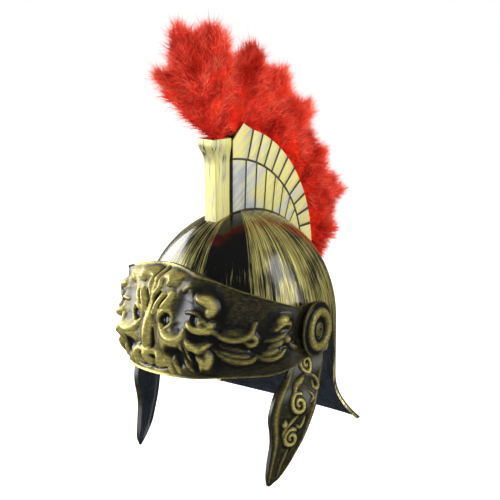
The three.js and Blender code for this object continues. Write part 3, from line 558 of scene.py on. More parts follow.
def ridge(across, up, path, wide, rise, taper=0.45):
    """Height of a rounded ridge along a path over a grid of places, thinner towards its ends."""
    height = np.zeros_like(across)
    line = through(path, max(2, 5 * len(path)))
    low, high = line.min(0) - wide, line.max(0) + wide
    near = (across > low[0]) & (across < high[0]) & (up > low[1]) & (up < high[1])
    if not near.any():
        return height
    px, py = across[near], up[near]
    best = np.full(px.shape, 1e9)
    share = np.zeros(px.shape)
    for i in range(len(line) - 1):
        a, step = line[i], line[i + 1] - line[i]
        t = np.clip(((px - a[0]) * step[0] + (py - a[1]) * step[1]) / (step @ step + 1e-9), 0, 1)
        gap = np.hypot(px - a[0] - t * step[0], py - a[1] - t * step[1])
        closer = gap < best
        best[closer] = gap[closer]
        share[closer] = ((i + t) / (len(line) - 1))[closer]
    thin = mix(taper, 1, np.sin(math.pi * np.clip(share, 0.02, 0.98)) ** 0.6)
    q = best / (thin * wide / 2)
    height[near] = np.where(q < 1, rise * thin * (1 - np.minimum(q, 1) ** 2) ** 1.25, 0)
    return height


def mound(across, up, centre, long, wide, turn, rise):
    """Height of a broad swelling."""
    c, s = math.cos(turn * DEGREES), math.sin(turn * DEGREES)
    ahead, above = across - centre[0], up - centre[1]
    q = ((ahead * c + above * s) / long) ** 2 + ((above * c - ahead * s) / wide) ** 2
    return np.where(q < 1, rise * (1 - np.minimum(q, 1)) ** 1.3, 0)


def bowl_points(angle, level):
    """Outer face of the bowl: level 0 to 1 is the dome, 1 to 2 the skirt, 2 to 3 the neck guard."""
    rise = (1 - np.clip(level, 0, 1)) * 90 * DEGREES
    dome = np.stack([DOME_WIDE * np.cos(rise) * np.cos(angle),
                     DOME_LONG * np.cos(rise) * np.sin(angle), DOME_TALL * np.sin(rise)], -1)
    wall = np.stack([DOME_WIDE * np.cos(angle), DOME_LONG * np.sin(angle)], -1)
    from_rear = angle - math.pi / 2
    from_rear = np.where(from_rear > math.pi, from_rear - 2 * math.pi, from_rear)
    edge_angle = math.acos(GUARD_EDGE / DOME_LONG)
    corner_angle = math.acos(LIP_CORNER / LIP_REACH)
    spread = np.clip(from_rear * corner_angle / edge_angle, -80 * DEGREES, 80 * DEGREES)
    lip = np.stack([-LIP_WIDE * np.sin(spread), LIP_REACH * np.cos(spread)], -1)
    share = np.clip(level - 2, 0, 1)
    kept = 1 - smooth(np.abs(from_rear), edge_angle * 1.25, edge_angle * 1.6)
    flare = kept * share ** FLARE_POWER
    back = np.clip((lip[..., 1] - LIP_CORNER) / (LIP_REACH - LIP_CORNER), -0.6, 1)
    lip_z = -mix(LIP_CORNER_DROP, LIP_REAR_DROP, back)
    drop = -SKIRT_DROP * np.clip(level - 1, 0, 1)
    low = np.stack([mix(wall[..., 0], lip[..., 0], flare), mix(wall[..., 1], lip[..., 1], flare),
                    mix(drop, lip_z, share)], -1)
    return np.where((level <= 1)[..., None], dome, low)


def opening_outline():
    """Outline of the face opening and both ear notches, seen from the side."""
    far = 300.0
    radius = NOTCH_WIDE / 2
    middle = GUARD_EDGE - radius
    notch_front = GUARD_EDGE - NOTCH_WIDE
    tab = through([(TAB_FRONT - 20, BROW), (TAB_FRONT - 7, BROW - 4), (TAB_FRONT, BROW - 15),
                   (TAB_FRONT + 8, -TAB_DROP)], 12)
    arch = [(middle + radius * math.cos(t * DEGREES),
             NOTCH_TOP - radius + radius * math.sin(t * DEGREES)) for t in range(180, -1, -6)]
    edge = []
    for share in np.arange(0.02, 1.3, 0.05):
        y = mix(GUARD_EDGE, LIP_CORNER, share ** FLARE_POWER)
        edge.append((y, mix(-SKIRT_DROP, -LIP_CORNER_DROP, share)))
    return [(-far, -far), (-far, BROW)] + [tuple(p) for p in tab] + [
        (notch_front - 4, -TAB_DROP), (notch_front, -TAB_DROP + 4)] + arch + edge + [(edge[-1][0], -far)]


def make_bowl(outside, inside):
    """Dome, skirt and neck guard as one shell, with the face opening and ear notches cut out."""
    columns = 220
    levels = np.concatenate([np.linspace(0.02, 1, 46), np.linspace(1.1, 2, 9), np.linspace(2.05, 3, 26)])
    angle = 2 * math.pi * (np.arange(columns) + 0.5) / columns
    grid_angle, grid_level = np.meshgrid(angle, levels, indexing="ij")
    outer = bowl_points(grid_angle, grid_level)
    step = 1e-3
    along = bowl_points(grid_angle + step, grid_level) - bowl_points(grid_angle - step, grid_level)
    down = bowl_points(grid_angle, grid_level + step) - bowl_points(grid_angle, grid_level - step)
    normal = np.cross(along, down)
    inner = outer + SHELL * normal / np.linalg.norm(normal, axis=-1, keepdims=True)
    rows = len(levels)
    points = np.concatenate([outer.reshape(-1, 3), inner.reshape(-1, 3),
                             [[0, 0, DOME_TALL], [0, 0, DOME_TALL - SHELL]]])
    half = columns * rows
    faces = sheet_faces(0, columns, rows, closed=True)
    faces += sheet_faces(half, columns, rows, flip=True, closed=True)
    for i in range(columns):
        k = (i + 1) % columns
        faces.append([2 * half, i * rows, k * rows])
        faces.append([2 * half + 1, half + k * rows, half + i * rows])
        faces.append([k * rows + rows - 1, i * rows + rows - 1,
                      half + i * rows + rows - 1, half + k * rows + rows - 1])
    piece = mesh_object("bowl_shell", put(points), faces, [outside, inside])
    tidy_mesh(piece)
    for face in piece.data.polygons:
        centre = face.center.copy()
        centre.z += SEAT * MM
        # The inside faces the middle of the dome
        face.material_index = 1 if face.normal.dot(centre) < 0 else 0
    reach = LIP_WIDE + 40
    cut(piece, prism(opening_outline(), -reach, reach), bar(HOLE, -reach, reach))
    return tidy_mesh(piece, turn=False)


def visor_plan(angle, z):
    """Face of the visor without its relief, at a direction round from the middle of the face."""
    side = np.where(angle < 0, -1.0, 1.0)
    flank = 90 * DEGREES
    turn = np.minimum(np.abs(angle), flank)
    up = np.clip(z / VISOR_TOP, 0, 1)
    long = mix(VISOR_LONG, VISOR_TOP_LONG, up ** 1.6)
    power = mix(VISOR_ROUND, VISOR_TOP_ROUND, up)
    low = np.clip((TUCK_HEIGHT - VISOR_DROP - z) / TUCK_HEIGHT, 0, 1.2)
    hold = 1 - smooth(turn, 55 * DEGREES, 92 * DEGREES)
    wide = VISOR_WIDE * (1 - TUCK * hold * low ** 2)
    out = ((np.sin(turn) / wide) ** power + (np.cos(turn) / long) ** power) ** (-1 / power)
    beyond = (np.abs(angle) - turn) * VISOR_WIDE
    x = out * np.sin(turn) - beyond * EAR_SLOPE
    return side * x, VISOR_MIDDLE - out * np.cos(turn) + beyond


def visor_edges(angle, y):
    """Bottom and top edge of the visor."""
    half = np.sqrt(np.maximum(0, EAR_RADIUS ** 2 - np.maximum(0, y - PIVOT_Y) ** 2))
    turn = np.cos(np.minimum(np.abs(angle), math.pi / 2))
    top = mix(PIVOT_Z + EAR_RADIUS, VISOR_TOP, turn ** 1.1)
    settle = smooth(y, -60, PIVOT_Y)
    low = mix(-VISOR_DROP, PIVOT_Z - EAR_RADIUS, settle)
    ear = y > PIVOT_Y
    return np.where(ear, PIVOT_Z - half, low), np.where(ear, PIVOT_Z + half, top)


# Broad forms of the mask, mane and leaves. angle is degrees round from the middle of the face,
# up is mm over the middle of the dome; long and wide are half sizes and rise the height, in mm.
MASSES = [
    {"name": "nose bridge", "angle": 0, "up": 12, "long": 30, "wide": 12, "turn": 90, "rise": 5},
    {"name": "nose tip", "angle": 0, "up": -12, "long": 13, "wide": 14, "turn": 90, "rise": 6.5},
    {"name": "brow", "angle": 9, "up": 44, "long": 22, "wide": 14, "turn": 62, "rise": 4.5},
    {"name": "forehead", "angle": 0, "up": 57, "long": 26, "wide": 15, "turn": 0, "rise": 3.6},
    {"name": "cheek bone", "angle": 18, "up": 7, "long": 19, "wide": 14, "turn": 10, "rise": 5},
    {"name": "muzzle", "angle": 9, "up": -18, "long": 13, "wide": 12, "turn": 0, "rise": 4.5},
    {"name": "side curl", "angle": 13, "up": 67, "long": 16, "wide": 11, "turn": 10, "rise": 4},
    {"name": "temple lock", "angle": 37, "up": 45, "long": 18, "wide": 12, "turn": -70, "rise": 6},
    {"name": "mane lock", "angle": 35, "up": 23, "long": 18, "wide": 13, "turn": -15, "rise": 5.5},
    {"name": "side lock", "angle": 31, "up": 4, "long": 16, "wide": 11, "turn": -10, "rise": 4},
    {"name": "beard lock", "angle": 34, "up": -12, "long": 18, "wide": 13, "turn": -60, "rise": 5},
    {"name": "upper leaf", "angle": 51, "up": 13, "long": 26, "wide": 10, "turn": -6, "rise": 3.4},
    {"name": "leaf curl", "angle": 60, "up": 9, "long": 9, "wide": 11, "turn": 0, "rise": 3},
    {"name": "lower leaf", "angle": 52, "up": -7, "long": 25, "wide": 9, "turn": -16, "rise": 3.4},
    {"name": "upper palmette", "angle": 78, "up": 22, "long": 17, "wide": 11, "turn": 28, "rise": 3.4},
    {"name": "middle palmette", "angle": 77, "up": 5, "long": 17, "wide": 8, "turn": 18, "rise": 3},
    {"name": "lower palmette", "angle": 73, "up": -8, "long": 19, "wide": 9, "turn": -4, "rise": 3},
]

# Ridges of the relief, each along a path of (degrees round, mm up), with its width and rise in mm.
# A negative rise is a groove.
RIDGES = [
    {"name": "nose ridge", "path": [(0, 40), (0, 22), (-0.5, 0), (-1, -10)], "wide": 9, "rise": 3.2},
    {"name": "nose end", "path": [(-1, -8), (-1, -21)], "wide": 14, "rise": 3},
    {"name": "nose wing", "path": [(2, -6), (5, -6), (8, -9), (9, -14), (8, -20)], "wide": 7, "rise": 4},
    {"name": "nostril", "path": [(3, -12), (5, -14)], "wide": 5, "rise": -4},
    {"name": "nose flank", "path": [(4, 16), (4.4, 4), (4.4, -3)], "wide": 5, "rise": -3.4},
    {"name": "mouth", "path": [(1, -25), (8, -26), (14, -22)], "wide": 5, "rise": -3},
    {"name": "inner brow", "path": [(1.6, 27), (1, 36), (1, 48), (5, 59)], "wide": 4.4, "rise": 3.4},
    {"name": "inner brow slot", "path": [(2.6, 38), (3, 46), (6, 53)], "wide": 3.6, "rise": -3.6},
    {"name": "outer brow", "path": [(3, 32), (5.6, 41), (10, 52)], "wide": 6.5, "rise": 3.8},
    {"name": "outer brow slot", "path": [(7, 38), (9.4, 45), (12.5, 51)], "wide": 4, "rise": -3},
    {"name": "brow corner", "path": [(10, 40), (13, 46), (16, 54)], "wide": 7, "rise": 2.6},
    {"name": "forehead wedge", "path": [(-2, 61), (-2, 52), (-1.4, 43)], "wide": 12, "rise": 2.4},
    {"name": "hair tuft", "path": [(0.8, 63), (0, 75)], "wide": 4.6, "rise": 3.6},
    {"name": "second tuft", "path": [(-2.4, 64), (-5, 75)], "wide": 4.6, "rise": 3.6},
    {"name": "third tuft", "path": [(-4.6, 65), (-10, 75)], "wide": 4.6, "rise": 3.4},
    {"name": "tuft slot", "path": [(2.6, 66), (3, 75)], "wide": 3, "rise": -3},
    {"name": "tuft gap", "path": [(-0.9, 66), (-2.4, 75)], "wide": 2.4, "rise": -3},
    {"name": "outer tuft", "path": [(-7.4, 64), (-15, 74)], "wide": 5, "rise": 3.2},
    {"name": "last tuft", "path": [(-12, 63), (-20, 73)], "wide": 5.6, "rise": 3},
    {"name": "curl", "path": [(5, 60), (4.4, 67), (7, 71), (11, 71), (14, 67.5), (12, 63)],
     "wide": 7, "rise": 4.2},
    {"name": "curl tail", "path": [(13, 69), (19, 71), (23, 72)], "wide": 3.6, "rise": 1.6},
    {"name": "temple tick", "path": [(23, 57), (24.6, 61), (28, 64)], "wide": 4, "rise": 2},
    {"name": "temple hollow", "path": [(20, 32), (23, 42), (24, 50)], "wide": 28, "rise": -3.4},
    {"name": "far temple hollow", "path": [(19, 21), (22, 27)], "wide": 16, "rise": -2},
    {"name": "lower cheek hollow", "path": [(15, -4), (20, -8), (21, -16)], "wide": 20, "rise": -5},
    {"name": "mane slot", "path": [(30, 32), (31, 26)], "wide": 10, "rise": -3.6},
    {"name": "beard slot", "path": [(29, -3), (30, -12), (31, -22)], "wide": 8, "rise": -3.6},
    {"name": "eye hollow", "path": [(10.4, 27), (13, 27)], "wide": 19, "rise": -6},
    {"name": "eye ball", "path": [(11.4, 27), (12.4, 27)], "wide": 8, "rise": 1.6},
    {"name": "upper lid", "path": [(7, 25), (8, 30), (11, 35.5), (14.6, 35.6), (16.4, 30)],
     "wide": 3.8, "rise": 2.8},
    {"name": "lower lid", "path": [(7, 25), (9.4, 20), (12.4, 19.4), (15, 23.4), (16.4, 30)],
     "wide": 3.4, "rise": 2.4},
    {"name": "cheek crescent", "path": [(9.6, 18), (13, 12), (19, 9.6), (24, 13), (25, 20)],
     "wide": 8, "rise": 4.2},
    {"name": "cheek line", "path": [(12, 6), (18, 4), (23, 6)], "wide": 3.6, "rise": 1.8},
    {"name": "mane crescent", "path": [(33, 52), (38, 49), (40, 42), (37.6, 34)],
     "wide": 10, "rise": 4.6},
    {"name": "mane line", "path": [(25, 37), (30, 37.6), (34, 33), (36, 26)], "wide": 4, "rise": 2.6},
    {"name": "mane bead", "path": [(32.4, 29), (33.6, 29)], "wide": 7, "rise": 3},
    {"name": "side bead", "path": [(38, 26), (38.6, 24)], "wide": 9, "rise": 3.6},
    {"name": "mane ridge", "path": [(27, 25), (32, 20.6), (38, 18.6)], "wide": 9, "rise": 4},
    {"name": "mane hollow", "path": [(28.6, 13), (33, 10)], "wide": 11, "rise": -3.6},
    {"name": "mane arc", "path": [(26, 16), (27, 7), (30, 0.6), (33.6, -0.6), (37, 4)],
     "wide": 7.6, "rise": 4},
    {"name": "beard line", "path": [(24.6, 10), (26, 0), (27.4, -8), (31, -16)], "wide": 4, "rise": 2.8},
    {"name": "inner beard line", "path": [(23, 8), (23.6, -6), (25, -16), (28, -24)],
     "wide": 4, "rise": 2.4},
    {"name": "beard knot", "path": [(36.4, -4), (37.6, -10), (35.6, -19)], "wide": 9, "rise": 4.2},
    {"name": "beard leaf", "path": [(31, -9), (34, -14), (32, -22)], "wide": 6.4, "rise": 3},
    {"name": "chin tuft", "path": [(13, -16), (15, -28)], "wide": 6, "rise": 2.2},
    {"name": "side tuft", "path": [(18, -12), (20, -28)], "wide": 5.6, "rise": 2.2},
    {"name": "leaf rib",
     "path": [(39, 18.4), (42, 13.6), (47, 9), (52, 8.2), (57, 11), (60.4, 17), (62, 25)],
     "wide": 6.4, "rise": 3},
    {"name": "leaf hook", "path": [(55, 9), (58.6, 3), (62.4, 4.6), (62.6, 10), (60, 13)],
     "wide": 6, "rise": 2.8},
    {"name": "lower rib", "path": [(39, -1), (43, -8), (48, -12.6), (54, -15.4), (60, -14.4), (63, -10)],
     "wide": 7, "rise": 3.4},
    {"name": "middle vein", "path": [(44, 3), (51, 0.4), (58, -3)], "wide": 5, "rise": 1.8},
    {"name": "lower vein", "path": [(43, -3), (50, -7.4), (58, -9)], "wide": 4, "rise": 1.6},
    {"name": "leaf edge", "path": [(63, -9), (68, -13.4), (74, -13.4), (80, -5)], "wide": 6, "rise": 3},
    {"name": "palmette bead", "path": [(76, 27), (80, 27.6)], "wide": 11, "rise": 3.6},
    {"name": "palmette ring", "path": [(74, 17), (78, 23), (83.6, 21), (82, 14), (77, 14)],
     "wide": 5, "rise": 2.6},
    {"name": "palmette stem", "path": [(81, 13), (75, 9), (68, 6)], "wide": 6, "rise": 2.6},
    {"name": "stem bead", "path": [(81, 5.4), (83, 4.4)], "wide": 9, "rise": 3},
    {"name": "upper leaflet", "path": [(77, 2), (70, -1)], "wide": 7, "rise": 2.4},
    {"name": "lower leaflet", "path": [(75, -4), (67, -7.6)], "wide": 7, "rise": 2.4},
    {"name": "rear leaflet", "path": [(84, -2), (90, -6)], "wide": 6, "rise": 2.2},
]

# The raised ridges run out softly, over this many times their named width
RIDGE_SPREAD = 1.35


def blurred(grid, reach):
    """Grid averaged over a square, by running sums."""
    for axis in (0, 1):
        width = [(0, 0), (0, 0)]
        width[axis] = (reach + 1, reach)
        total = np.cumsum(np.pad(grid, width, mode="edge"), axis=axis)
        size = 2 * reach + 1
        ahead = np.take(total, range(size, size + grid.shape[axis]), axis=axis)
        behind = np.take(total, range(grid.shape[axis]), axis=axis)
        grid = (ahead - behind) / size
    return grid


def wall_between(name, outer, inner, materials):
    """Closed wall between two sheets with the same columns; the inner one may have fewer rows."""
    columns, rows = outer.shape[:2]
    inner_rows = inner.shape[1]
    start = columns * rows
    points = np.concatenate([outer.reshape(-1, 3), inner.reshape(-1, 3)])
    faces = sheet_faces(0, columns, rows) + sheet_faces(start, columns, inner_rows, flip=True)
    outside = len(faces) - (columns - 1) * (inner_rows - 1)
    for i in range(columns - 1):
        a, b = i * rows, (i + 1) * rows
        c, d = start + i * inner_rows, start + (i + 1) * inner_rows
        faces.append([b, a, c, d])
        faces.append([a + rows - 1, b + rows - 1, d + inner_rows - 1, c + inner_rows - 1])
    first = list(range(rows)) + list(range(start + inner_rows - 1, start - 1, -1))
    last_out = (columns - 1) * rows
    last_in = start + (columns - 1) * inner_rows
    last = list(range(last_out, last_out + rows)) + list(range(last_in + inner_rows - 1, last_in - 1, -1))
    faces += [first, last[::-1]]
    piece = mesh_object(name, put(points), faces, materials)
    for face in piece.data.polygons[outside:outside + (columns - 1) * (inner_rows - 1)]:
        face.material_index = 1
    return piece


def give(piece, name, values):
    """Stores a number for each vertex."""
    attribute = piece.data.attributes.new(name, "FLOAT", "POINT")
    attribute.data.foreach_set("value", np.asarray(values, np.float32))


def make_visor(outside, inside):
    """Visor wall with the mask and leaves raised on its face, and the paint that each place holds."""
    columns, rows, inner_rows = 521, 149, 12
    end = 90 * DEGREES + (PIVOT_Y - VISOR_MIDDLE + EAR_RADIUS * 0.97) / VISOR_WIDE
    # The columns stand closer together over the face
    share = np.linspace(-1, 1, columns)
    angle = end * (0.78 * share + 0.22 * share ** 3)

    def sheet(rows_here, depth, carve):
        turn, part = np.meshgrid(angle, np.linspace(0, 1, rows_here), indexing="ij")
        low, top = visor_edges(turn, visor_plan(turn, np.zeros_like(turn))[1])
        z = mix(low, top, part)
        px, py = visor_plan(turn, z)
        step = 1e-3
        qx, qy = visor_plan(turn + step, z)
        rx, ry = visor_plan(turn - step, z)
        size = np.hypot(qx - rx, qy - ry)
        away = np.abs(turn)
        mask_share = 1 - smooth(away, MASK_SHOULDER * DEGREES, MASK_EDGE * DEGREES)
        rubbed = None
        if carve:
            across = away * (VISOR_WIDE + VISOR_LONG) / 2
            degree = DEGREES * (VISOR_WIDE + VISOR_LONG) / 2
            broad = np.zeros_like(z)
            for m in MASSES:
                broad = np.maximum(broad, mound(across, z, (m["angle"] * degree, m["up"]),
                                                m["long"], m["wide"], m["turn"], m["rise"]))
            raised = np.zeros_like(z)
            sunk = np.zeros_like(z)
            for r in RIDGES:
                path = [(a * degree, up) for a, up in r["path"]]
                spread = RIDGE_SPREAD if r["rise"] > 0 else 1
                height = ridge(across, z, path, r["wide"] * spread, abs(r["rise"]), 0.7)
                if r["rise"] > 0:
                    raised = np.maximum(raised, height)
                else:
                    sunk = np.maximum(sunk, height)
            edge = smooth(part, 0, 0.05) * smooth(1 - part, 0, 0.05)
            fade = edge * (1 - smooth(away, 86 * DEGREES, 93 * DEGREES))
            detail = blurred((broad + raised - sunk) * fade, 1)
            rim = 1.2 * (1 - smooth(part, 0.004, 0.024) * smooth(1 - part, 0.004, 0.024))
            rim = rim * (1 - smooth(away, 92 * DEGREES, 99 * DEGREES))
            under = 1 - smooth(z, VISOR_TOP * MASK_TOP_FADE, VISOR_TOP)
            risen = smooth(z, -VISOR_DROP, 0)
            out = detail + rim + MASK_SWELL * mask_share * under * mix(0.45, 1, risen) - depth
            fine_crest = detail - blurred(blurred(detail, 3), 3)
            broad_crest = detail - blurred(blurred(detail, 10), 10)
            # Paint went on thickly over the face, less towards the wearer's left, and missed hollows
            thin_from, thin_to = (limit * DEGREES for limit in FACE_PAINT_ENDS)
            thick = (THICK_FACE_PAINT - THIN_FACE_PAINT) * (1 - smooth(turn, thin_from, thin_to))
            face_paint = THIN_FACE_PAINT + thick
            rubbed = FLAT_PAINT + 0.13 * broad_crest + 0.1 * fine_crest
            rubbed = rubbed + mask_share * (face_paint - 0.05 * sunk)
            rubbed = np.clip(rubbed, 0, 0.9) + 0.22 * rim
        else:
            # Behind the mask the wall is dished, less deep than the mask stands out
            hollow = 0.8 * MASK_SWELL * smooth(part, 0.05, 0.4) * (1 - smooth(part, 0.6, 0.95))
            out = hollow * mask_share - depth
        grid = np.stack([px + (qy - ry) / size * out, py - (qx - rx) / size * out, z], -1)
        return grid, rubbed

    outer, rubbed = sheet(rows, 0, True)
    inner, _ = sheet(inner_rows, VISOR_WALL, False)
    piece = wall_between("visor_shell", outer, inner, [outside, inside])
    give(piece, "rubbed", np.concatenate([rubbed.ravel(), np.zeros(columns * inner_rows)]))
    reach = VISOR_WIDE + 40
    tidy_mesh(piece)
    cut(piece, bar(HOLE, -reach, reach))
    return tidy_mesh(piece, turn=False)


# Sections of the cheek guard from the top down. drop is a share of its length; front and rear are
# shares of its width before and behind the pivot; the outs are shares of the largest splay.
CHEEK_SECTIONS = [
    {"drop": 0.122, "front": -0.423, "rear": 0.423, "front_out": 0, "rear_out": 0},
    {"drop": 0.256, "front": -0.452, "rear": 0.429, "front_out": 0, "rear_out": 0},
    {"drop": 0.35, "front": -0.635, "rear": 0.365, "front_out": 0.05, "rear_out": 0.11},
    {"drop": 0.383, "front": -0.77, "rear": 0.25, "front_out": 0.16, "rear_out": 0.26},
    {"drop": 0.417, "front": -0.952, "rear": 0.096, "front_out": 0.33, "rear_out": 0.465},
    {"drop": 0.456, "front": -1.163, "rear": -0.077, "front_out": 0.47, "rear_out": 0.735},
    {"drop": 0.506, "front": -1.25, "rear": -0.221, "front_out": 0.465, "rear_out": 0.927},
    {"drop": 0.561, "front": -1.298, "rear": -0.313, "front_out": 0.41, "rear_out": 0.99},
    {"drop": 0.617, "front": -1.298, "rear": -0.375, "front_out": 0.37, "rear_out": 0.92},
    {"drop": 0.683, "front": -1.244, "rear": -0.448, "front_out": 0.354, "rear_out": 0.83},
    {"drop": 0.75, "front": -1.225, "rear": -0.542, "front_out": 0.34, "rear_out": 0.735},
    {"drop": 0.883, "front": -1.283, "rear": -0.798, "front_out": 0.27, "rear_out": 0.485},
    {"drop": 0.944, "front": -1.308, "rear": -0.971, "front_out": 0.235, "rear_out": 0.37},
    {"drop": 0.983, "front": -1.288, "rear": -1.115, "front_out": 0.204, "rear_out": 0.29},
    {"drop": 1, "front": -1.265, "rear": -1.215, "front_out": 0.2, "rear_out": 0.215},
]

# Scrolls down the middle of the guard: centre as (y, z), radius in mm, start and sweep in degrees
SCROLLS = [
    {"name": "top scroll", "centre": (0.5, -28), "radius": 8.4, "start": 140, "sweep": 540},
    {"name": "middle scroll", "centre": (-28, -63), "radius": 9.6, "start": 60, "sweep": 560},
    {"name": "lower scroll", "centre": (-36, -99), "radius": 8.4, "start": 60, "sweep": 540},
]

# Stems and leaves between the scrolls, each along a path of (y, z), with its width and rise in mm
TENDRILS = [
    {"name": "long stem", "path": [(-6, -38), (-15, -42), (-26, -47), (-36, -58)],
     "wide": 4.6, "rise": 2},
    {"name": "leaf loop", "path": [(2, -38), (6, -43), (2, -50), (-4, -50), (-1, -44)],
     "wide": 4.2, "rise": 2},
    {"name": "leaf hook", "path": [(-12, -52), (-9, -58), (-14, -63)], "wide": 3.6, "rise": 1.6},
    {"name": "lower stem", "path": [(-30, -75), (-36, -80), (-44, -90), (-45, -98)],
     "wide": 4.2, "rise": 1.9},
    {"name": "small curl", "path": [(-22, -78), (-24, -84), (-27, -88), (-31, -86)],
     "wide": 4, "rise": 1.8},
    {"name": "bud", "path": [(-44, -80), (-44, -86)], "wide": 6.4, "rise": 2.4},
    {"name": "tail", "path": [(-38, -108), (-42, -118), (-46, -128), (-49, -140)],
     "wide": 3.6, "rise": 1.4},
]


def cheek_edges(drop):
    """Both edges of the guard's face at each drop, as arrays of (x, y)."""
    known = [s["drop"] for s in CHEEK_SECTIONS]
    ends = {}
    for key in ("front", "rear", "front_out", "rear_out"):
        values = [s[key] for s in CHEEK_SECTIONS]
        fine = np.interp(drop, known, values)
        for _ in range(2):
            eased = np.convolve(np.pad(fine, 4, mode="reflect", reflect_type="odd"), np.ones(9) / 9, "valid")
            fine = np.where(drop > 0.2, eased, fine)
        ends[key] = fine
    z = CHEEK_TOP - drop * CHEEK_LONG
    round_half = np.sqrt(np.maximum(0.02, CHEEK_TOP_RADIUS ** 2 - np.maximum(0, z - PIVOT_Z) ** 2))
    head = drop < CHEEK_SECTIONS[0]["drop"]
    front = np.where(head, -round_half, ends["front"] * CHEEK_WIDE)
    rear = np.where(head, round_half, ends["rear"] * CHEEK_WIDE)
    return (CHEEK_FACE + ends["front_out"] * CHEEK_SPLAY, PIVOT_Y + front,
            CHEEK_FACE + ends["rear_out"] * CHEEK_SPLAY, PIVOT_Y + rear)


def make_cheek_guard(side, outside, inside):
    """One cheek guard: a flat head on the pivot and a splayed, pointed tray with scrolls below."""
    rows, fine = 230, 71
    drop = np.concatenate([np.linspace(0, 0.02, 8)[:-1], np.linspace(0.02, 1, rows - 7)])
    fx, fy, rx, ry = cheek_edges(drop)
    z = CHEEK_TOP - drop * CHEEK_LONG
    width = np.hypot(rx - fx, ry - fy)
    ax, ay = (rx - fx) / width, (ry - fy) / width
    tray = smooth(drop, 0.38, 0.46)
    slim = mix(1, 0.6, smooth(drop, 0.85, 1))
    deep = mix(CHEEK_WALL, TRAY_DEEP * slim, tray)
    rear_deep = mix(CHEEK_WALL, TRAY_REAR * slim, tray)
    lip = np.minimum(CHEEK_WALL, width * 0.2)
    bevel = np.minimum(CHEEK_BEVEL, width * 0.15)
    crown = CHEEK_CROWN * smooth(drop, 0.35, 0.5) * np.minimum(1, width / CHEEK_WIDE)
    share = np.linspace(0, 1, fine)
    across = bevel[:, None] + (width - 2 * bevel)[:, None] * share[None, :]
    y = fy[:, None] + ay[:, None] * across
    high = np.repeat(z[:, None], fine, 1)
    carved = np.zeros_like(y)
    for s in SCROLLS:
        turn = (s["start"] + s["sweep"] * np.linspace(0, 1, 16)) * DEGREES
        radius = s["radius"] * np.linspace(1, 0.16, 16)
        path = np.stack([s["centre"][0] + radius * np.cos(turn),
                         s["centre"][1] + 1.2 * radius * np.sin(turn)], 1)
        carved = np.maximum(carved, ridge(y, high, path, SCROLL_WIDE, SCROLL_RISE, taper=0.7))
    for t in TENDRILS:
        carved = np.maximum(carved, ridge(y, high, t["path"], t["wide"] * RIDGE_SPREAD, t["rise"]))
    inset = across / np.maximum(width, 1)[:, None]
    low_part = smooth(drop, 0.33, 0.4)[:, None] * (1 - smooth(drop, 0.96, 0.995))[:, None]
    # A raised line runs along each edge of the tray
    rim = 1.5 * np.exp(-((inset - 0.11) / 0.06) ** 2) * low_part
    rear_rim = 1.1 * np.exp(-((inset - 0.93) / 0.045) ** 2) * low_part
    carved = np.maximum(np.maximum(carved, rim), rear_rim) * smooth(drop, 0.24, 0.28)[:, None]
    out = crown[:, None] * 4 * share * (1 - share) + carved

    def at(along, off):
        """Points at a distance along the guard's width and off its face."""
        along, off = np.broadcast_arrays(np.asarray(along, float), np.asarray(off, float))
        return np.stack([fx + ax * along + ay * off, fy + ay * along - ax * off, z], -1)

    face = np.stack([fx[:, None] + ax[:, None] * across + ay[:, None] * out,
                     fy[:, None] + ay[:, None] * across - ax[:, None] * out, high], -1)
    thin = bevel * 0.3
    ring = [at(0, -deep), at(0, -bevel), at(thin, -thin)]
    ring = [r[:, None] for r in ring] + [face]
    ring += [r[:, None] for r in (
        at(width - thin, -thin), at(width, -bevel), at(width, -rear_deep),
        at(width - lip, -rear_deep - 0.01), at(width - lip - bevel, -CHEEK_WALL),
        at(width * 0.75, crown * 0.75 - CHEEK_WALL), at(width / 2, crown - CHEEK_WALL),
        at(width * 0.25, crown * 0.75 - CHEEK_WALL), at(lip + bevel, -CHEEK_WALL), at(lip, -deep - 0.01))]
    ring = np.concatenate(ring, 1)
    count = ring.shape[1]
    points = ring.reshape(-1, 3) * np.array([side, 1, 1])
    total = len(drop)
    # The sections follow each other downwards, so their quads run the other way round
    faces = [quad[:1] + quad[:0:-1] for quad in tube_faces(total, count)]
    inner_from = fine + 6
    faces += [list(range(count)), list(range((total - 1) * count, total * count))[::-1]]
    piece = mesh_object("cheek_shell_" + ("left" if side > 0 else "right"), put(points), faces,
                        [outside, inside])
    for index, polygon in enumerate(piece.data.polygons):
        if index % count >= inner_from - 1 or index >= (total - 1) * count:
            polygon.material_index = 1
    rubbed = np.zeros((total, count))
    crest = carved - blurred(carved, 5)
    rubbed[:, 3:3 + fine] = np.clip(0.42 + 0.26 * crest + 0.12 * carved, 0, 0.95)
    rubbed[:, :3] = 0.4
    rubbed[:, 3 + fine:3 + fine + 3] = 0.4
    give(piece, "rubbed", rubbed.ravel())
    tidy_mesh(piece, angle=50)
    cut(piece, bar(HOLE, -CHEEK_FACE - 40, CHEEK_FACE + 40))
    return tidy_mesh(piece, angle=50, turn=False)


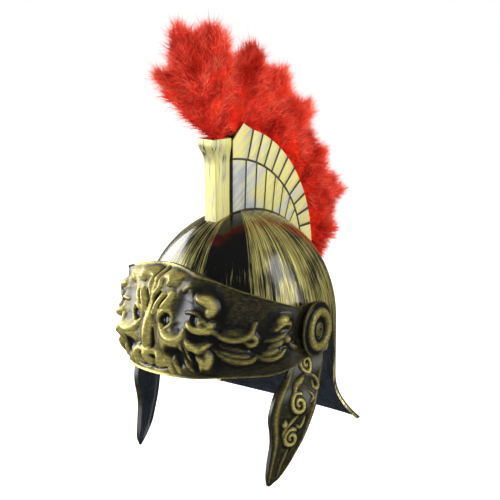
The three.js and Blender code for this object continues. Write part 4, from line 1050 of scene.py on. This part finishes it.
def make_rosette(side, outside):
    """Dished disc with a rolled rim, a proud ring and a boss, seated flat on the visor's ear."""
    r = ROSETTE_RADIUS
    shape = [
        (r * 0.84, -r * 0.5), (r * 0.88, -5), (r * 0.94, -2), (r * 0.99, -0.4), (r, 0.6),
        (r * 0.99, 1.6), (r * 0.965, 2.0), (r * 0.935, 1.7), (r * 0.905, 0.9),
        (r * 0.87, 0.7), (r * 0.83, 0.9), (r * 0.8, 2.2), (r * 0.765, 4.6), (r * 0.71, 6.2), (r * 0.64, 6.8),
        (r * 0.57, 6.6), (r * 0.5, 5.6), (r * 0.45, 3.6), (r * 0.41, 1.5), (r * 0.36, 0.9), (r * 0.3, 0.9),
        (r * 0.265, 1.8), (r * 0.245, 3.2), (r * 0.2, 4.2), (r * 0.15, ROSETTE_RISE),
    ]
    profile = [(0, -r * 0.52)] + [tuple(p) for p in through(shape, 84)] + [(0, ROSETTE_RISE)]
    sides = 128
    piece = lathe(profile, sides, "rosette_disc_" + ("left" if side > 0 else "right"), [outside])
    heights = np.array([along for _, along in profile])
    local = heights - np.convolve(np.pad(heights, 8, mode="edge"), np.ones(17) / 17, "valid")
    rubbed = np.clip(0.36 + 0.22 * local + 0.03 * np.clip(heights, 0, 7), 0, 0.9)
    rubbed[heights < -0.5] = 0.2
    give(piece, "rubbed", np.concatenate([[0, rubbed[-1]], np.tile(rubbed[1:-1], sides)]))
    piece.data.transform(Matrix.Rotation(ROSETTE_TURN * DEGREES, 4, "Z"))
    piece.data.transform(Matrix.Translation(Vector((ROSETTE_FACE, PIVOT_Y, PIVOT_Z - SEAT)) * MM))
    work = bmesh.new()
    work.from_mesh(piece.data)
    normal = Vector((math.cos(EAR_TURN), math.sin(EAR_TURN), 0))
    seat = Vector((EAR_FACE, PIVOT_Y, PIVOT_Z - SEAT)) * MM + normal * 0.3 * MM
    bmesh.ops.bisect_plane(work, geom=work.verts[:] + work.edges[:] + work.faces[:],
                           plane_co=seat, plane_no=normal, clear_inner=True)
    bmesh.ops.holes_fill(work, edges=[e for e in work.edges if e.is_boundary], sides=0)
    if side < 0:
        bmesh.ops.scale(work, vec=(-1, 1, 1), verts=work.verts)
    work.to_mesh(piece.data)
    work.free()
    tidy_mesh(piece, angle=50)
    cut(piece, bar(HOLE, -EAR_FACE - 40, EAR_FACE + 40))
    return tidy_mesh(piece, angle=50, turn=False)


def rivet_tree(material):
    """Geometry nodes: sets a turned rivet on each pivot point and faces it outwards."""
    tree = bpy.data.node_groups.new("rivets_on_pivots", "GeometryNodeTree")
    face = tree.interface
    face.new_socket("Pivots", in_out="INPUT", socket_type="NodeSocketGeometry")
    face.new_socket("Rivet", in_out="INPUT", socket_type="NodeSocketObject")
    face.new_socket("Geometry", in_out="OUTPUT", socket_type="NodeSocketGeometry")
    entry = tree.nodes.new("NodeGroupInput")
    leave = tree.nodes.new("NodeGroupOutput")
    rivet = add(tree, "GeometryNodeObjectInfo", inputs={"Object": entry.outputs["Rivet"]})
    turn = add(tree, "GeometryNodeInputNamedAttribute", {"data_type": "FLOAT"}, {"Name": "turn"})
    angles = add(tree, "ShaderNodeCombineXYZ", inputs={"Z": turn.outputs["Attribute"]})
    placed = add(tree, "GeometryNodeInstanceOnPoints", inputs={
        "Points": entry.outputs["Pivots"], "Instance": rivet.outputs["Geometry"],
        "Rotation": angles.outputs[0]})
    real = add(tree, "GeometryNodeRealizeInstances", inputs={0: placed.outputs[0]})
    done = add(tree, "GeometryNodeSetMaterial", inputs={
        "Geometry": real.outputs[0], "Material": material})
    tree.links.new(done.outputs[0], leave.inputs[0])
    return tree


def set_inputs(modifier, values):
    """Sets the modifier's inputs by their sockets' identifiers."""
    for item in modifier.node_group.interface.items_tree:
        if item.item_type == "SOCKET" and item.in_out == "INPUT" and item.name in values:
            modifier[item.identifier] = values[item.name]


def make_rivets(outside):
    """Both pivot rivets: a domed head with a dark eye outside, a shank, and a head inside."""
    bowl_x = DOME_WIDE * math.sqrt(1 - (PIVOT_Y / DOME_LONG) ** 2 - (PIVOT_Z / DOME_TALL) ** 2)
    inner = bowl_x - SHELL - 1.2
    outer = RIVET_LEDGE + 0.3
    head = RIVET_HEAD
    shape = [(0, inner - RIVET_RISE), (head * 0.8, inner - RIVET_RISE), (head, inner - RIVET_RISE * 0.6),
             (head, inner), (SHANK, inner), (SHANK, outer), (head, outer), (head, outer + RIVET_RISE * 0.5),
             (head * 0.86, outer + RIVET_RISE * 0.9), (head * 0.6, outer + RIVET_RISE * 1.05),
             (head * 0.38, outer + RIVET_RISE), (head * 0.32, outer + RIVET_RISE * 0.7),
             (head * 0.3, outer + RIVET_RISE * 0.3), (0, outer + RIVET_RISE * 0.25)]
    rivet = lathe(shape, 40, "rivet_form", [outside])
    tidy_mesh(rivet, angle=40)
    give(rivet, "rubbed", [0.5] * len(rivet.data.vertices))
    points = put([(0, PIVOT_Y, PIVOT_Z), (0, PIVOT_Y, PIVOT_Z)])
    piece = mesh_object("rivets", points, [], [outside])
    turns = piece.data.attributes.new("turn", "FLOAT", "POINT")
    turns.data.foreach_set("value", [0.0, math.pi])
    modifier = piece.modifiers.new("rivets", "NODES")
    modifier.node_group = rivet_tree(outside)
    set_inputs(modifier, {"Rivet": rivet})
    baked(piece)
    bpy.data.objects.remove(rivet)
    return piece


def height_of_dome(x, y):
    """Height of the dome's face over a place."""
    return DOME_TALL * math.sqrt(max(0, 1 - (x / DOME_WIDE) ** 2 - (y / DOME_LONG) ** 2))


def make_post(paint):
    """Square post with softly rounded corners and a flared capital, hollow from the top."""
    def ring(half, front, rear, radius):
        """Outline of the post at one height, seen from above."""
        out = []
        corners = [(-1, 0), (1, 0), (1, 1), (-1, 1)]
        for n, (sx, back) in enumerate(corners):
            x0 = sx * (half - radius)
            y0 = rear - radius if back else front + radius
            for k in range(5):
                turn = (180 + 90 * n + 22.5 * k) * DEGREES
                out.append((x0 + radius * math.cos(turn), y0 + radius * math.sin(turn)))
        return out

    shape = through([(110, POST_HALF, POST_FRONT), (140, POST_HALF - 0.1, POST_FRONT + 0.1),
                     (165, POST_HALF, POST_FRONT - 0.4), (178, POST_HALF + 0.1, POST_FRONT - 0.8),
                     (186, mix(POST_HALF, CAPITAL_HALF, 0.35), mix(POST_FRONT, CAPITAL_FRONT, 0.35)),
                     (193, mix(POST_HALF, CAPITAL_HALF, 0.85), mix(POST_FRONT, CAPITAL_FRONT, 0.85)),
                     (197, CAPITAL_HALF, CAPITAL_FRONT), (POST_TOP - 1, CAPITAL_HALF, CAPITAL_FRONT)], 40)
    # The lowest ring follows the dome, and the next stands clear of it
    flat = ring(*shape[0][1:], POST_REAR, POST_CORNER)
    rings = [[(x, y, height_of_dome(x, y) + 0.3) for x, y in flat]]
    for z, half, front in shape[1:]:
        if z > CLEAR_OF_DOME:
            rings.append([(x, y, z) for x, y in ring(half, front, POST_REAR, POST_CORNER)])
    brim = ring(CAPITAL_HALF - 0.5, CAPITAL_FRONT + 0.5, POST_REAR - 0.3, 1)
    rings.append([(x, y, POST_TOP) for x, y in brim])
    w = POST_WALL
    for z, half, front in [(POST_TOP, CAPITAL_HALF - w, CAPITAL_FRONT + w),
                           (POST_TOP - CAPITAL_BAND, CAPITAL_HALF - w, CAPITAL_FRONT + w),
                           (POST_SHAFT, POST_HALF - w, POST_FRONT + w),
                           (POST_FLOOR, POST_HALF - w, POST_FRONT + w)]:
        rings.append([(x, y, z) for x, y in ring(half, front, POST_REAR - w, HOLLOW_CORNER)])
    count = len(rings[0])
    points = [p for r in rings for p in r]
    faces = tube_faces(len(rings), count)
    faces += [list(range(count))[::-1], list(range((len(rings) - 1) * count, len(rings) * count))]
    piece = mesh_object("post_shell", put(points), faces, [paint])
    return tidy_mesh(piece, angle=30)


def fan_point(radius, turn):
    """Point on an oval round the fan's middle, in degrees back from upright, as (y, z)."""
    return (FAN_MIDDLE[0] + radius[0] * math.sin(turn * DEGREES),
            FAN_MIDDLE[1] + radius[1] * math.cos(turn * DEGREES))


def under_fan(y, margin):
    """Height of the dome under the fan's side, at a place along the helmet."""
    return height_of_dome(FAN_HALF, y) + margin


def make_fan_body(dark):
    """Narrow box of the fan, open along its outer edge, under the side plates."""
    outline = [(FAN_FRONT, FAN_SUNK[0]), (FAN_FRONT, FAN_SHOULDER), FAN_PEAK]
    outline += [fan_point(FAN_OUTER, t) for t in np.arange(16, 101, 2.5)]
    outline += [(FAN_REAR - 22, FAN_SUNK[1])]
    half = FAN_HALF - PLATE_RISE
    body = prism(outline, -half, half)
    body.name = "fan_box"
    body.data.materials.append(dark)
    # The slot follows the inner oval and leaves at the front, the top and the rear
    slot = [fan_point(FAN_INNER, t) for t in np.arange(95, -0.1, -5)]
    far_up, far_back = 400, 300
    slot += [(FAN_FRONT - 10, FAN_MIDDLE[1] + FAN_INNER[1]), (FAN_FRONT - 10, far_up),
             (far_back, far_up), (far_back, 30)]
    gap = FAN_HALF - FAN_WALL
    cut(body, prism(slot, -gap, gap), grown_dome(0.3))
    return tidy_mesh(body, turn=False)


def foot(point, number):
    """Where a side of an inner plate meets the dome. The further back it is, the more it leans."""
    lean = mix(3, 13, number / (INNER_GROOVES[2] - 1))
    target = (point[0] - lean, 93.5)
    for share in np.linspace(0, 1, 200):
        y, z = mix(point[0], target[0], share), mix(point[1], target[1], share)
        if z <= under_fan(y, PLATE_LIFT):
            return (y, z)
    return target


def plate_outlines():
    """Outlines of the plates on the fan's side: an outer and an inner band, with grooves between."""
    half = GROOVE / 2
    outer_turns, inner_turns = [
        [mix(first, last, i / (count - 1)) for i in range(count)]
        for first, last, count in (OUTER_GROOVES, INNER_GROOVES)]
    slip = half / FAN_INNER[0] / DEGREES
    rim = (FAN_OUTER[0] - 0.3, FAN_OUTER[1] - 0.3)
    above = (FAN_INNER[0] + half, FAN_INNER[1] + half)
    below = (FAN_INNER[0] - half, FAN_INNER[1] - half)
    plates = []
    # The first plate has no groove before it, and the last none behind it
    edges = [None] + outer_turns + [None]
    for a, b in zip(edges[:-1], edges[1:]):
        start = FIRST_TURN if a is None else a + slip
        stop = OUTER_LAST_TURN if b is None else b - slip
        inner = [fan_point(above, t) for t in np.linspace(start, stop, 6)]
        if a is None:
            outer = [fan_point(rim, b + PLATE_LEAN - slip), (FAN_PEAK[0], FAN_PEAK[1] - 0.4),
                     (FAN_FRONT + 0.3, FAN_SHOULDER - 0.2)]
            inner[0] = (FAN_FRONT + 0.3, inner[0][1])
        else:
            stop_out = RIM_LAST_TURN if b is None else b + PLATE_LEAN - slip
            outer = [fan_point(rim, t) for t in np.linspace(stop_out, a + PLATE_LEAN + slip, 6)]
        if b is None:
            foot_line = np.linspace(inner[-1][0] + 1, outer[0][0] - 0.5, 6)
            inner += [(y, under_fan(y, 1.2)) for y in foot_line]
        plates.append(inner + outer)
    edges = [None] + inner_turns + [None]
    for n, (a, b) in enumerate(zip(edges[:-1], edges[1:])):
        start = FIRST_TURN if a is None else a + slip
        stop = INNER_LAST_TURN if b is None else b - slip
        top = [fan_point(below, t) for t in np.linspace(start, stop, 6)]
        if a is None:
            top[0] = (FAN_FRONT + 0.3, top[0][1])
        right = top[-1] if b is None else foot(top[-1], n)
        left = (top[0][0], under_fan(top[0][0], PLATE_LIFT)) if a is None else foot(top[0], n - 1)
        bottom = [(y, under_fan(y, PLATE_LIFT)) for y in np.linspace(right[0], left[0], 7)]
        if b is None:
            bottom = bottom[1:]
        plates.append(top + bottom)
    return plates


def make_fan_plates(paint):
    """Raised plates on both sides of the fan, each with a softened edge."""
    work = bmesh.new()
    for side in (1, -1):
        for outline in plate_outlines():
            base, top = [[work.verts.new(put([(side * x, y, z)])[0]) for y, z in outline]
                         for x in (FAN_HALF - PLATE_RISE - 0.4, FAN_HALF)]
            count = len(outline)
            cover = work.faces.new(top)
            work.faces.new(base[::-1])
            for i in range(count):
                k = (i + 1) % count
                work.faces.new([base[i], base[k], top[k], top[i]])
            bmesh.ops.bevel(work, geom=list(cover.edges), offset=0.28 * MM, segments=2, affect="EDGES",
                            profile=0.6)
    mesh = bpy.data.meshes.new("fan_plates")
    work.to_mesh(mesh)
    work.free()
    mesh.materials.append(paint)
    return tidy_mesh(linked("fan_plates", mesh), angle=40)


def backing_points():
    """Line of the quills: up out of the post, over its rear edge and down along the fan."""
    line = [((POST_FRONT + POST_REAR) / 2, POST_TOP - 4)]
    deep = 0.55
    middle = (mix(FAN_INNER[0], FAN_OUTER[0], deep), mix(FAN_INNER[1], FAN_OUTER[1], deep))
    line += [fan_point(middle, t) for t in range(4, 92, 8)]
    return np.array(line)


def make_plume_core(down):
    """Soft heart of the plume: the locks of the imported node, rounded into each other."""
    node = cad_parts["plume"]
    mesh = node.data.copy()
    mesh.materials.clear()
    mesh.materials.append(down)
    core = linked("plume_heart", mesh)
    tidy_mesh(core)
    remesh = core.modifiers.new("rounded", "REMESH")
    remesh.mode = "VOXEL"
    remesh.voxel_size = HEART_VOXEL * MM
    ease = core.modifiers.new("eased", "SMOOTH")
    ease.factor = 0.5
    ease.iterations = 9
    baked(core)
    # The heart keeps its form at the roots over the post, so that no gap shows behind it
    roots = core.vertex_groups.new(name="reach")
    for vertex in core.data.vertices:
        y, z = vertex.co.y / MM, vertex.co.z / MM + SEAT
        over_post = 1 - smooth(y, FAN_FRONT - 4, FAN_FRONT + 8)
        reach = min(1, max(ROOT_KEPT, (z - POST_TOP) / ROOT_REACH))
        roots.add([vertex.index], float(mix(1, reach, over_post)), "REPLACE")
    lumps = bpy.data.textures.new("tufts", "CLOUDS")
    lumps.noise_scale = LUMP_WIDE * MM
    lumps.noise_depth = 2
    # Drawn in by the reach of the barbs, and lumpy where the tufts part
    drawn = core.modifiers.new("drawn_in", "DISPLACE")
    drawn.texture = lumps
    drawn.texture_coords = "OBJECT"
    drawn.strength = DRAWN_IN * MM
    drawn.mid_level = 1.0
    drawn.vertex_group = "reach"
    baked(core)
    count = len(core.data.vertices)
    places = np.zeros(count * 3)
    core.data.vertices.foreach_get("co", places)
    places = places.reshape(-1, 3)
    # The barbs lean away from the nearest place on the line of the quills
    quills = backing_points()
    fine = through(put(np.stack([np.zeros(len(quills)), *quills.T], 1)), 60)
    gaps = np.linalg.norm(places[:, None] - fine[None], axis=2)
    away = places - fine[gaps.argmin(1)]
    flow = away / np.maximum(np.linalg.norm(away, axis=1, keepdims=True), 1e-6)
    attribute = core.data.attributes.new("flow", "FLOAT_VECTOR", "POINT")
    attribute.data.foreach_set("vector", flow.astype(np.float32).ravel())
    give(core, "along", np.zeros(count))
    y, z = places[:, 1] / MM, places[:, 2] / MM + SEAT
    # Barbs grow only from what stands clear of post and fan
    far_back, far_up = (y - FAN_MIDDLE[0]) / FAN_OUTER[0], (z - FAN_MIDDLE[1]) / FAN_OUTER[1]
    over_fan = far_back ** 2 + far_up ** 2 > 1.04
    give(core, "free", np.where(y < FAN_FRONT, z > POST_TOP + 1, over_fan))
    tidy_mesh(core, angle=180, turn=False)
    return core


def barb_form(name, down, pale):
    """One barb of down, one unit long: a thin three-sided spike with a soft bend. pale is how far
    it turns pink by the end, painted light shining through its thin end."""
    points, along = [], []
    for share, reach, lean in ((0, 1, 0), (0.5, 0.8, 0.06)):
        for i in range(3):
            turn = 2 * math.pi * i / 3
            points.append((BARB_THICK * reach * math.cos(turn) + lean,
                           BARB_THICK * reach * math.sin(turn), share))
            along.append(share * pale)
    points.append((0.2, 0, 1))
    along.append(pale)
    faces = [[2, 1, 0]]
    for i in range(3):
        k = (i + 1) % 3
        faces += [[i, k, k + 3, i + 3], [i + 3, k + 3, 6]]
    barb = mesh_object(name, points, faces, [down])
    give(barb, "along", along)
    for face in barb.data.polygons:
        face.use_smooth = True
    return barb


def barb_tree(down):
    """Geometry nodes: strews barbs over the plume's heart, combed along its flow in tufts."""
    tree = bpy.data.node_groups.new("marabou_barbs", "GeometryNodeTree")
    face = tree.interface
    face.new_socket("Heart", in_out="INPUT", socket_type="NodeSocketGeometry")
    face.new_socket("Barb", in_out="INPUT", socket_type="NodeSocketObject")
    for name in ("Density", "Shortest", "Longest", "Ruffle", "Tuft Size", "Tuft Pull", "Lift",
                 "From Y", "To Y"):
        face.new_socket(name, in_out="INPUT", socket_type="NodeSocketFloat")
    face.new_socket("Seed", in_out="INPUT", socket_type="NodeSocketInt")
    face.new_socket("Geometry", in_out="OUTPUT", socket_type="NodeSocketGeometry")
    entry = tree.nodes.new("NodeGroupInput").outputs
    leave = tree.nodes.new("NodeGroupOutput")
    place = add(tree, "GeometryNodeInputPosition")
    split = add(tree, "ShaderNodeSeparateXYZ", inputs={0: place.outputs[0]})
    past = add(tree, "FunctionNodeCompare", {"data_type": "FLOAT", "operation": "GREATER_EQUAL"},
               {0: split.outputs["Y"], 1: entry["From Y"]})
    short = add(tree, "FunctionNodeCompare", {"data_type": "FLOAT", "operation": "LESS_THAN"},
                {0: split.outputs["Y"], 1: entry["To Y"]})
    within = add(tree, "FunctionNodeBooleanMath", {"operation": "AND"},
                 {0: past.outputs[0], 1: short.outputs[0]})
    free = add(tree, "GeometryNodeInputNamedAttribute", {"data_type": "FLOAT"}, {"Name": "free"})
    thick = add(tree, "ShaderNodeMath", {"operation": "MULTIPLY"},
                {0: free.outputs["Attribute"], 1: entry["Density"]})
    strewn = add(tree, "GeometryNodeDistributePointsOnFaces", inputs={
        "Mesh": entry["Heart"], "Selection": within.outputs[0], "Density": thick.outputs[0],
        "Seed": entry["Seed"]})
    flow = add(tree, "GeometryNodeInputNamedAttribute", {"data_type": "FLOAT_VECTOR"}, {"Name": "flow"})
    lifted = add(tree, "ShaderNodeVectorMath", {"operation": "SCALE"},
                 {0: strewn.outputs["Normal"], "Scale": entry["Lift"]})
    combed = add(tree, "ShaderNodeVectorMath", {"operation": "ADD"},
                 {0: flow.outputs["Attribute"], 1: lifted.outputs[0]})
    size = add(tree, "ShaderNodeMath", {"operation": "DIVIDE"}, {0: 1.0, 1: entry["Tuft Size"]})
    tuft = add(tree, "ShaderNodeTexNoise", inputs={
        "Vector": place.outputs[0], "Scale": size.outputs[0], "Detail": 1})
    centred = add(tree, "ShaderNodeVectorMath", {"operation": "SUBTRACT"},
                  {0: tuft.outputs["Color"], 1: (0.5, 0.5, 0.5)})
    pulled = add(tree, "ShaderNodeVectorMath", {"operation": "SCALE"},
                 {0: centred.outputs[0], "Scale": entry["Tuft Pull"]})
    ruffled = add(tree, "FunctionNodeRandomValue", {"data_type": "FLOAT_VECTOR"},
                  {0: (-1, -1, -1), 1: (1, 1, 1), "Seed": entry["Seed"]})
    ruffle = add(tree, "ShaderNodeVectorMath", {"operation": "SCALE"},
                 {0: ruffled.outputs[0], "Scale": entry["Ruffle"]})
    once = add(tree, "ShaderNodeVectorMath", {"operation": "ADD"},
               {0: combed.outputs[0], 1: pulled.outputs[0]})
    way = add(tree, "ShaderNodeVectorMath", {"operation": "ADD"},
              {0: once.outputs[0], 1: ruffle.outputs[0]})
    aim = add(tree, "FunctionNodeAlignRotationToVector", {"axis": "Z"}, {"Vector": way.outputs[0]})
    spin = add(tree, "FunctionNodeRandomValue", {"data_type": "FLOAT"}, {2: 0.0, 3: 2 * math.pi, "Seed": 7})
    twist = add(tree, "ShaderNodeCombineXYZ", inputs={"Z": spin.outputs[1]})
    turned = add(tree, "FunctionNodeRotateRotation", {"rotation_space": "LOCAL"},
                 {0: aim.outputs[0], 1: twist.outputs[0]})
    length = add(tree, "FunctionNodeRandomValue", {"data_type": "FLOAT"},
                 {2: entry["Shortest"], 3: entry["Longest"], "Seed": 11})
    barb = add(tree, "GeometryNodeObjectInfo", inputs={"Object": entry["Barb"]})
    set_on = add(tree, "GeometryNodeInstanceOnPoints", inputs={
        "Points": strewn.outputs["Points"], "Instance": barb.outputs["Geometry"],
        "Rotation": turned.outputs[0], "Scale": length.outputs[1]})
    real = add(tree, "GeometryNodeRealizeInstances", inputs={0: set_on.outputs[0]})
    done = add(tree, "GeometryNodeSetMaterial", inputs={
        "Geometry": real.outputs[0], "Material": down})
    tree.links.new(done.outputs[0], leave.inputs[0])
    return tree


# Tufts of the plume from front to rear, with the stretch of the helmet that each covers and the
# lengths of its longest barbs and wisps, in mm
TUFTS = [
    {"name": "plume_front", "from": -200, "to": -38, "longest": 17, "wisp": 24, "seed": 3},
    {"name": "plume_crown", "from": -38, "to": 28, "longest": 16, "wisp": 21, "seed": 5},
    {"name": "plume_back", "from": 28, "to": 92, "longest": 16, "wisp": 21, "seed": 8},
    {"name": "plume_tail", "from": 92, "to": 260, "longest": 16, "wisp": 20, "seed": 13},
]


# Both kinds of barb: short red ones, and few long pale wisps over them. Lengths are mm, density is
# barbs a square metre, and pale is how far they turn pink by the end, painted light shining through
# the thin ends.
BARBS = [
    {"name": "barb_form", "pale": 0.5, "density": 600000.0, "shortest": 7, "longest": "longest",
     "ruffle": 0.5, "pull": 2.2, "seed": 0},
    {"name": "wisp_form", "pale": 1, "density": 70000.0, "shortest": 14, "longest": "wisp",
     "ruffle": 0.7, "pull": 2.6, "seed": 20},
]


def make_plume(down):
    """Heart of the plume, and its tufts of barbs as pieces of their own."""
    core = make_plume_core(down)
    forms = [barb_form(kind["name"], down, kind["pale"]) for kind in BARBS]
    tree = barb_tree(down)
    pieces = [core]
    for tuft in TUFTS:
        grown = [linked(tuft["name"] + ending, core.data.copy()) for ending in ("", "_wisps")]
        for kind, form, strewn in zip(BARBS, forms, grown):
            modifier = strewn.modifiers.new("barbs", "NODES")
            modifier.node_group = tree
            set_inputs(modifier, {
                "Barb": form, "Density": kind["density"], "Shortest": kind["shortest"] * MM,
                "Longest": tuft[kind["longest"]] * MM, "Ruffle": kind["ruffle"],
                "Tuft Size": TUFT_WIDE * MM, "Tuft Pull": kind["pull"], "Lift": 0.3,
                "From Y": tuft["from"] * MM, "To Y": tuft["to"] * MM, "Seed": tuft["seed"] + kind["seed"]})
            baked(strewn)
        pieces.append(joined(grown))
    for form in forms:
        bpy.data.objects.remove(form)
    return pieces


def finish(piece, body, slot, *nodes):
    """Hides the nodes that a piece replaces and hangs the piece on the body that it rides on. slot is not
    used.
    """
    if nodes:
        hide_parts(*nodes)
    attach(piece, body)


def make_helmet():
    """All pieces of the helmet, with their materials."""
    brushed = brushed_brass_on_black_plastic()
    rubbed = rubbed_brass_on_black_plastic()
    black = black_plastic_with_painted_sheen()
    post_paint = pale_brass_paint("pale_brass_paint_brushed_upright", lean=0, stretch=0.05, thin=0,
                                  bare=("#3E3D22", "#87865F"))
    plate_paint = pale_brass_paint("pale_brass_paint_brushed_aslant", lean=52, stretch=0.07, thin=0.2,
                                   bare=("#8F9290", "#A2A4A2"))
    groove = dark_groove_paint()
    down = red_marabou()
    gold, crest, feather = "brushed_gold_shell", "pale_gold_crest", "red_feather"
    finish(make_bowl(brushed, black), "shell", gold, "bowl")
    finish(make_visor(rubbed, black), "visor_part", gold, "visor")
    for name, side in (("left", 1), ("right", -1)):
        finish(make_cheek_guard(side, rubbed, black), "cheek_part_" + name, gold, "cheek_guard_" + name)
        finish(make_rosette(side, rubbed), "visor_part", gold, "rosette_" + name)
    finish(make_rivets(rubbed), "shell", gold, "rivet_left", "rivet_right")
    finish(make_post(post_paint), "shell", crest, "crest_post")
    finish(make_fan_body(groove), "shell", crest, "crest_fan")
    finish(make_fan_plates(plate_paint), "shell", crest, "crest_fan")
    for piece in make_plume(down):
        finish(piece, "shell", feather, "plume")


# Softboxes: degrees round from the camera, height and distance from the helmet in metres, wide and
# tall in metres, power in watts, and the kind of ray that doesn't see the light. The top and front
# ones aren't mirrored in the gloss, and only the gloss picks up the bright left panel.
SOFTBOXES = [
    {"name": "left_wall_softbox", "round": -98, "up": 0.4, "away": 1.5, "wide": 2.4, "tall": 1.7,
     "power": 30, "hidden_from": None},
    {"name": "right_softbox", "round": 78, "up": 0.4, "away": 1.5, "wide": 0.6, "tall": 1.6,
     "power": 13, "hidden_from": None},
    {"name": "top_softbox", "round": 20, "up": 1.5, "away": 0.5, "wide": 0.8, "tall": 0.8,
     "power": 9, "hidden_from": "visible_glossy"},
    {"name": "front_softbox", "round": 25, "up": 0.7, "away": 1.6, "wide": 1.2, "tall": 1.2,
     "power": 15, "hidden_from": "visible_glossy"},
    {"name": "left_panel", "round": -108, "up": 0.3, "away": 1.7, "wide": 3.0, "tall": 1.9,
     "power": 100, "hidden_from": "visible_diffuse"},
]


def make_softboxes():
    """Area lights round the helmet, each facing it."""
    aim = Vector(LIGHTS_AIM)
    for box in SOFTBOXES:
        light = bpy.data.lights.new(box["name"], "AREA")
        light.shape = "RECTANGLE"
        light.size, light.size_y, light.energy = box["wide"], box["tall"], box["power"]
        lamp = linked(box["name"], light)
        turn = (CAMERA_AZIMUTH + box["round"]) * DEGREES
        place = Vector((box["away"] * math.sin(turn), -box["away"] * math.cos(turn), box["up"]))
        lamp.location = place + aim
        lamp.rotation_euler = (aim - lamp.location).to_track_quat("-Z", "Y").to_euler()
        if box["hidden_from"]:
            setattr(lamp, box["hidden_from"], False)


def make_studio():
    """White ground and surroundings, and the softboxes."""
    corners = [(x * FLOOR_HALF, y * FLOOR_HALF, FLOOR_Z) for x, y in ((-1, -1), (1, -1), (1, 1), (-1, 1))]
    floor = mesh_object("studio_floor", corners, [[0, 1, 2, 3]], [])
    paper, tree, output = new_material("white_studio_paper")
    place = add(tree, "ShaderNodeTexCoord").outputs["Object"]
    grain = noise(tree, place, 60, 2)
    tone = ramp(tree, grain.outputs["Fac"], (0, "#FAFAFA"), (1, "#FFFFFF"))
    shader = add(tree, "ShaderNodeBsdfPrincipled", inputs={
        "Base Color": tone, "Roughness": 0.9, "Emission Color": (1, 1, 1, 1),
        "Emission Strength": 0.55})
    # The gloss of the helmet mirrors a dim floor, so that it stays black below
    dim = add(tree, "ShaderNodeBsdfDiffuse", inputs={"Color": colour("#303030")})
    ray = add(tree, "ShaderNodeLightPath")
    seen = add(tree, "ShaderNodeMixShader", inputs={
        0: ray.outputs["Is Glossy Ray"], 1: shader.outputs[0], 2: dim.outputs[0]})
    tree.links.new(seen.outputs[0], output.inputs[0])
    floor.data.materials.append(paper)

    world = bpy.data.worlds.new("white_studio")
    bpy.context.scene.world = world
    world.use_nodes = True
    tree = world.node_tree
    tree.nodes.clear()
    ray = add(tree, "ShaderNodeLightPath")
    mirrored = add(tree, "ShaderNodeMix", {"data_type": "RGBA"},
                   {0: ray.outputs["Is Glossy Ray"], 6: (0.5, 0.5, 0.5, 1), 7: (0.05, 0.05, 0.052, 1)})
    seen = add(tree, "ShaderNodeMix", {"data_type": "RGBA"},
               {0: ray.outputs["Is Camera Ray"], 6: mirrored.outputs[2], 7: (1, 1, 1, 1)})
    back = add(tree, "ShaderNodeBackground", inputs={"Color": seen.outputs[2], "Strength": 1.0})
    out = tree.nodes.new("ShaderNodeOutputWorld")
    tree.links.new(back.outputs[0], out.inputs[0])
    make_softboxes()


def make_camera():
    """Camera where the photo was taken from."""
    camera = bpy.data.cameras.new("photo_view")
    camera.sensor_width = SENSOR_WIDE
    camera.lens = SENSOR_WIDE * LENS_PER_SENSOR
    view = linked("photo_view", camera)
    view.location = put([CAMERA_PLACE])[0]
    view.rotation_euler = ((90 - CAMERA_RISE) * DEGREES, 0, CAMERA_AZIMUTH * DEGREES)
    bpy.context.scene.camera = view


make_camera()
make_helmet()
make_studio()
bpy.context.scene.view_settings.view_transform = "Standard"
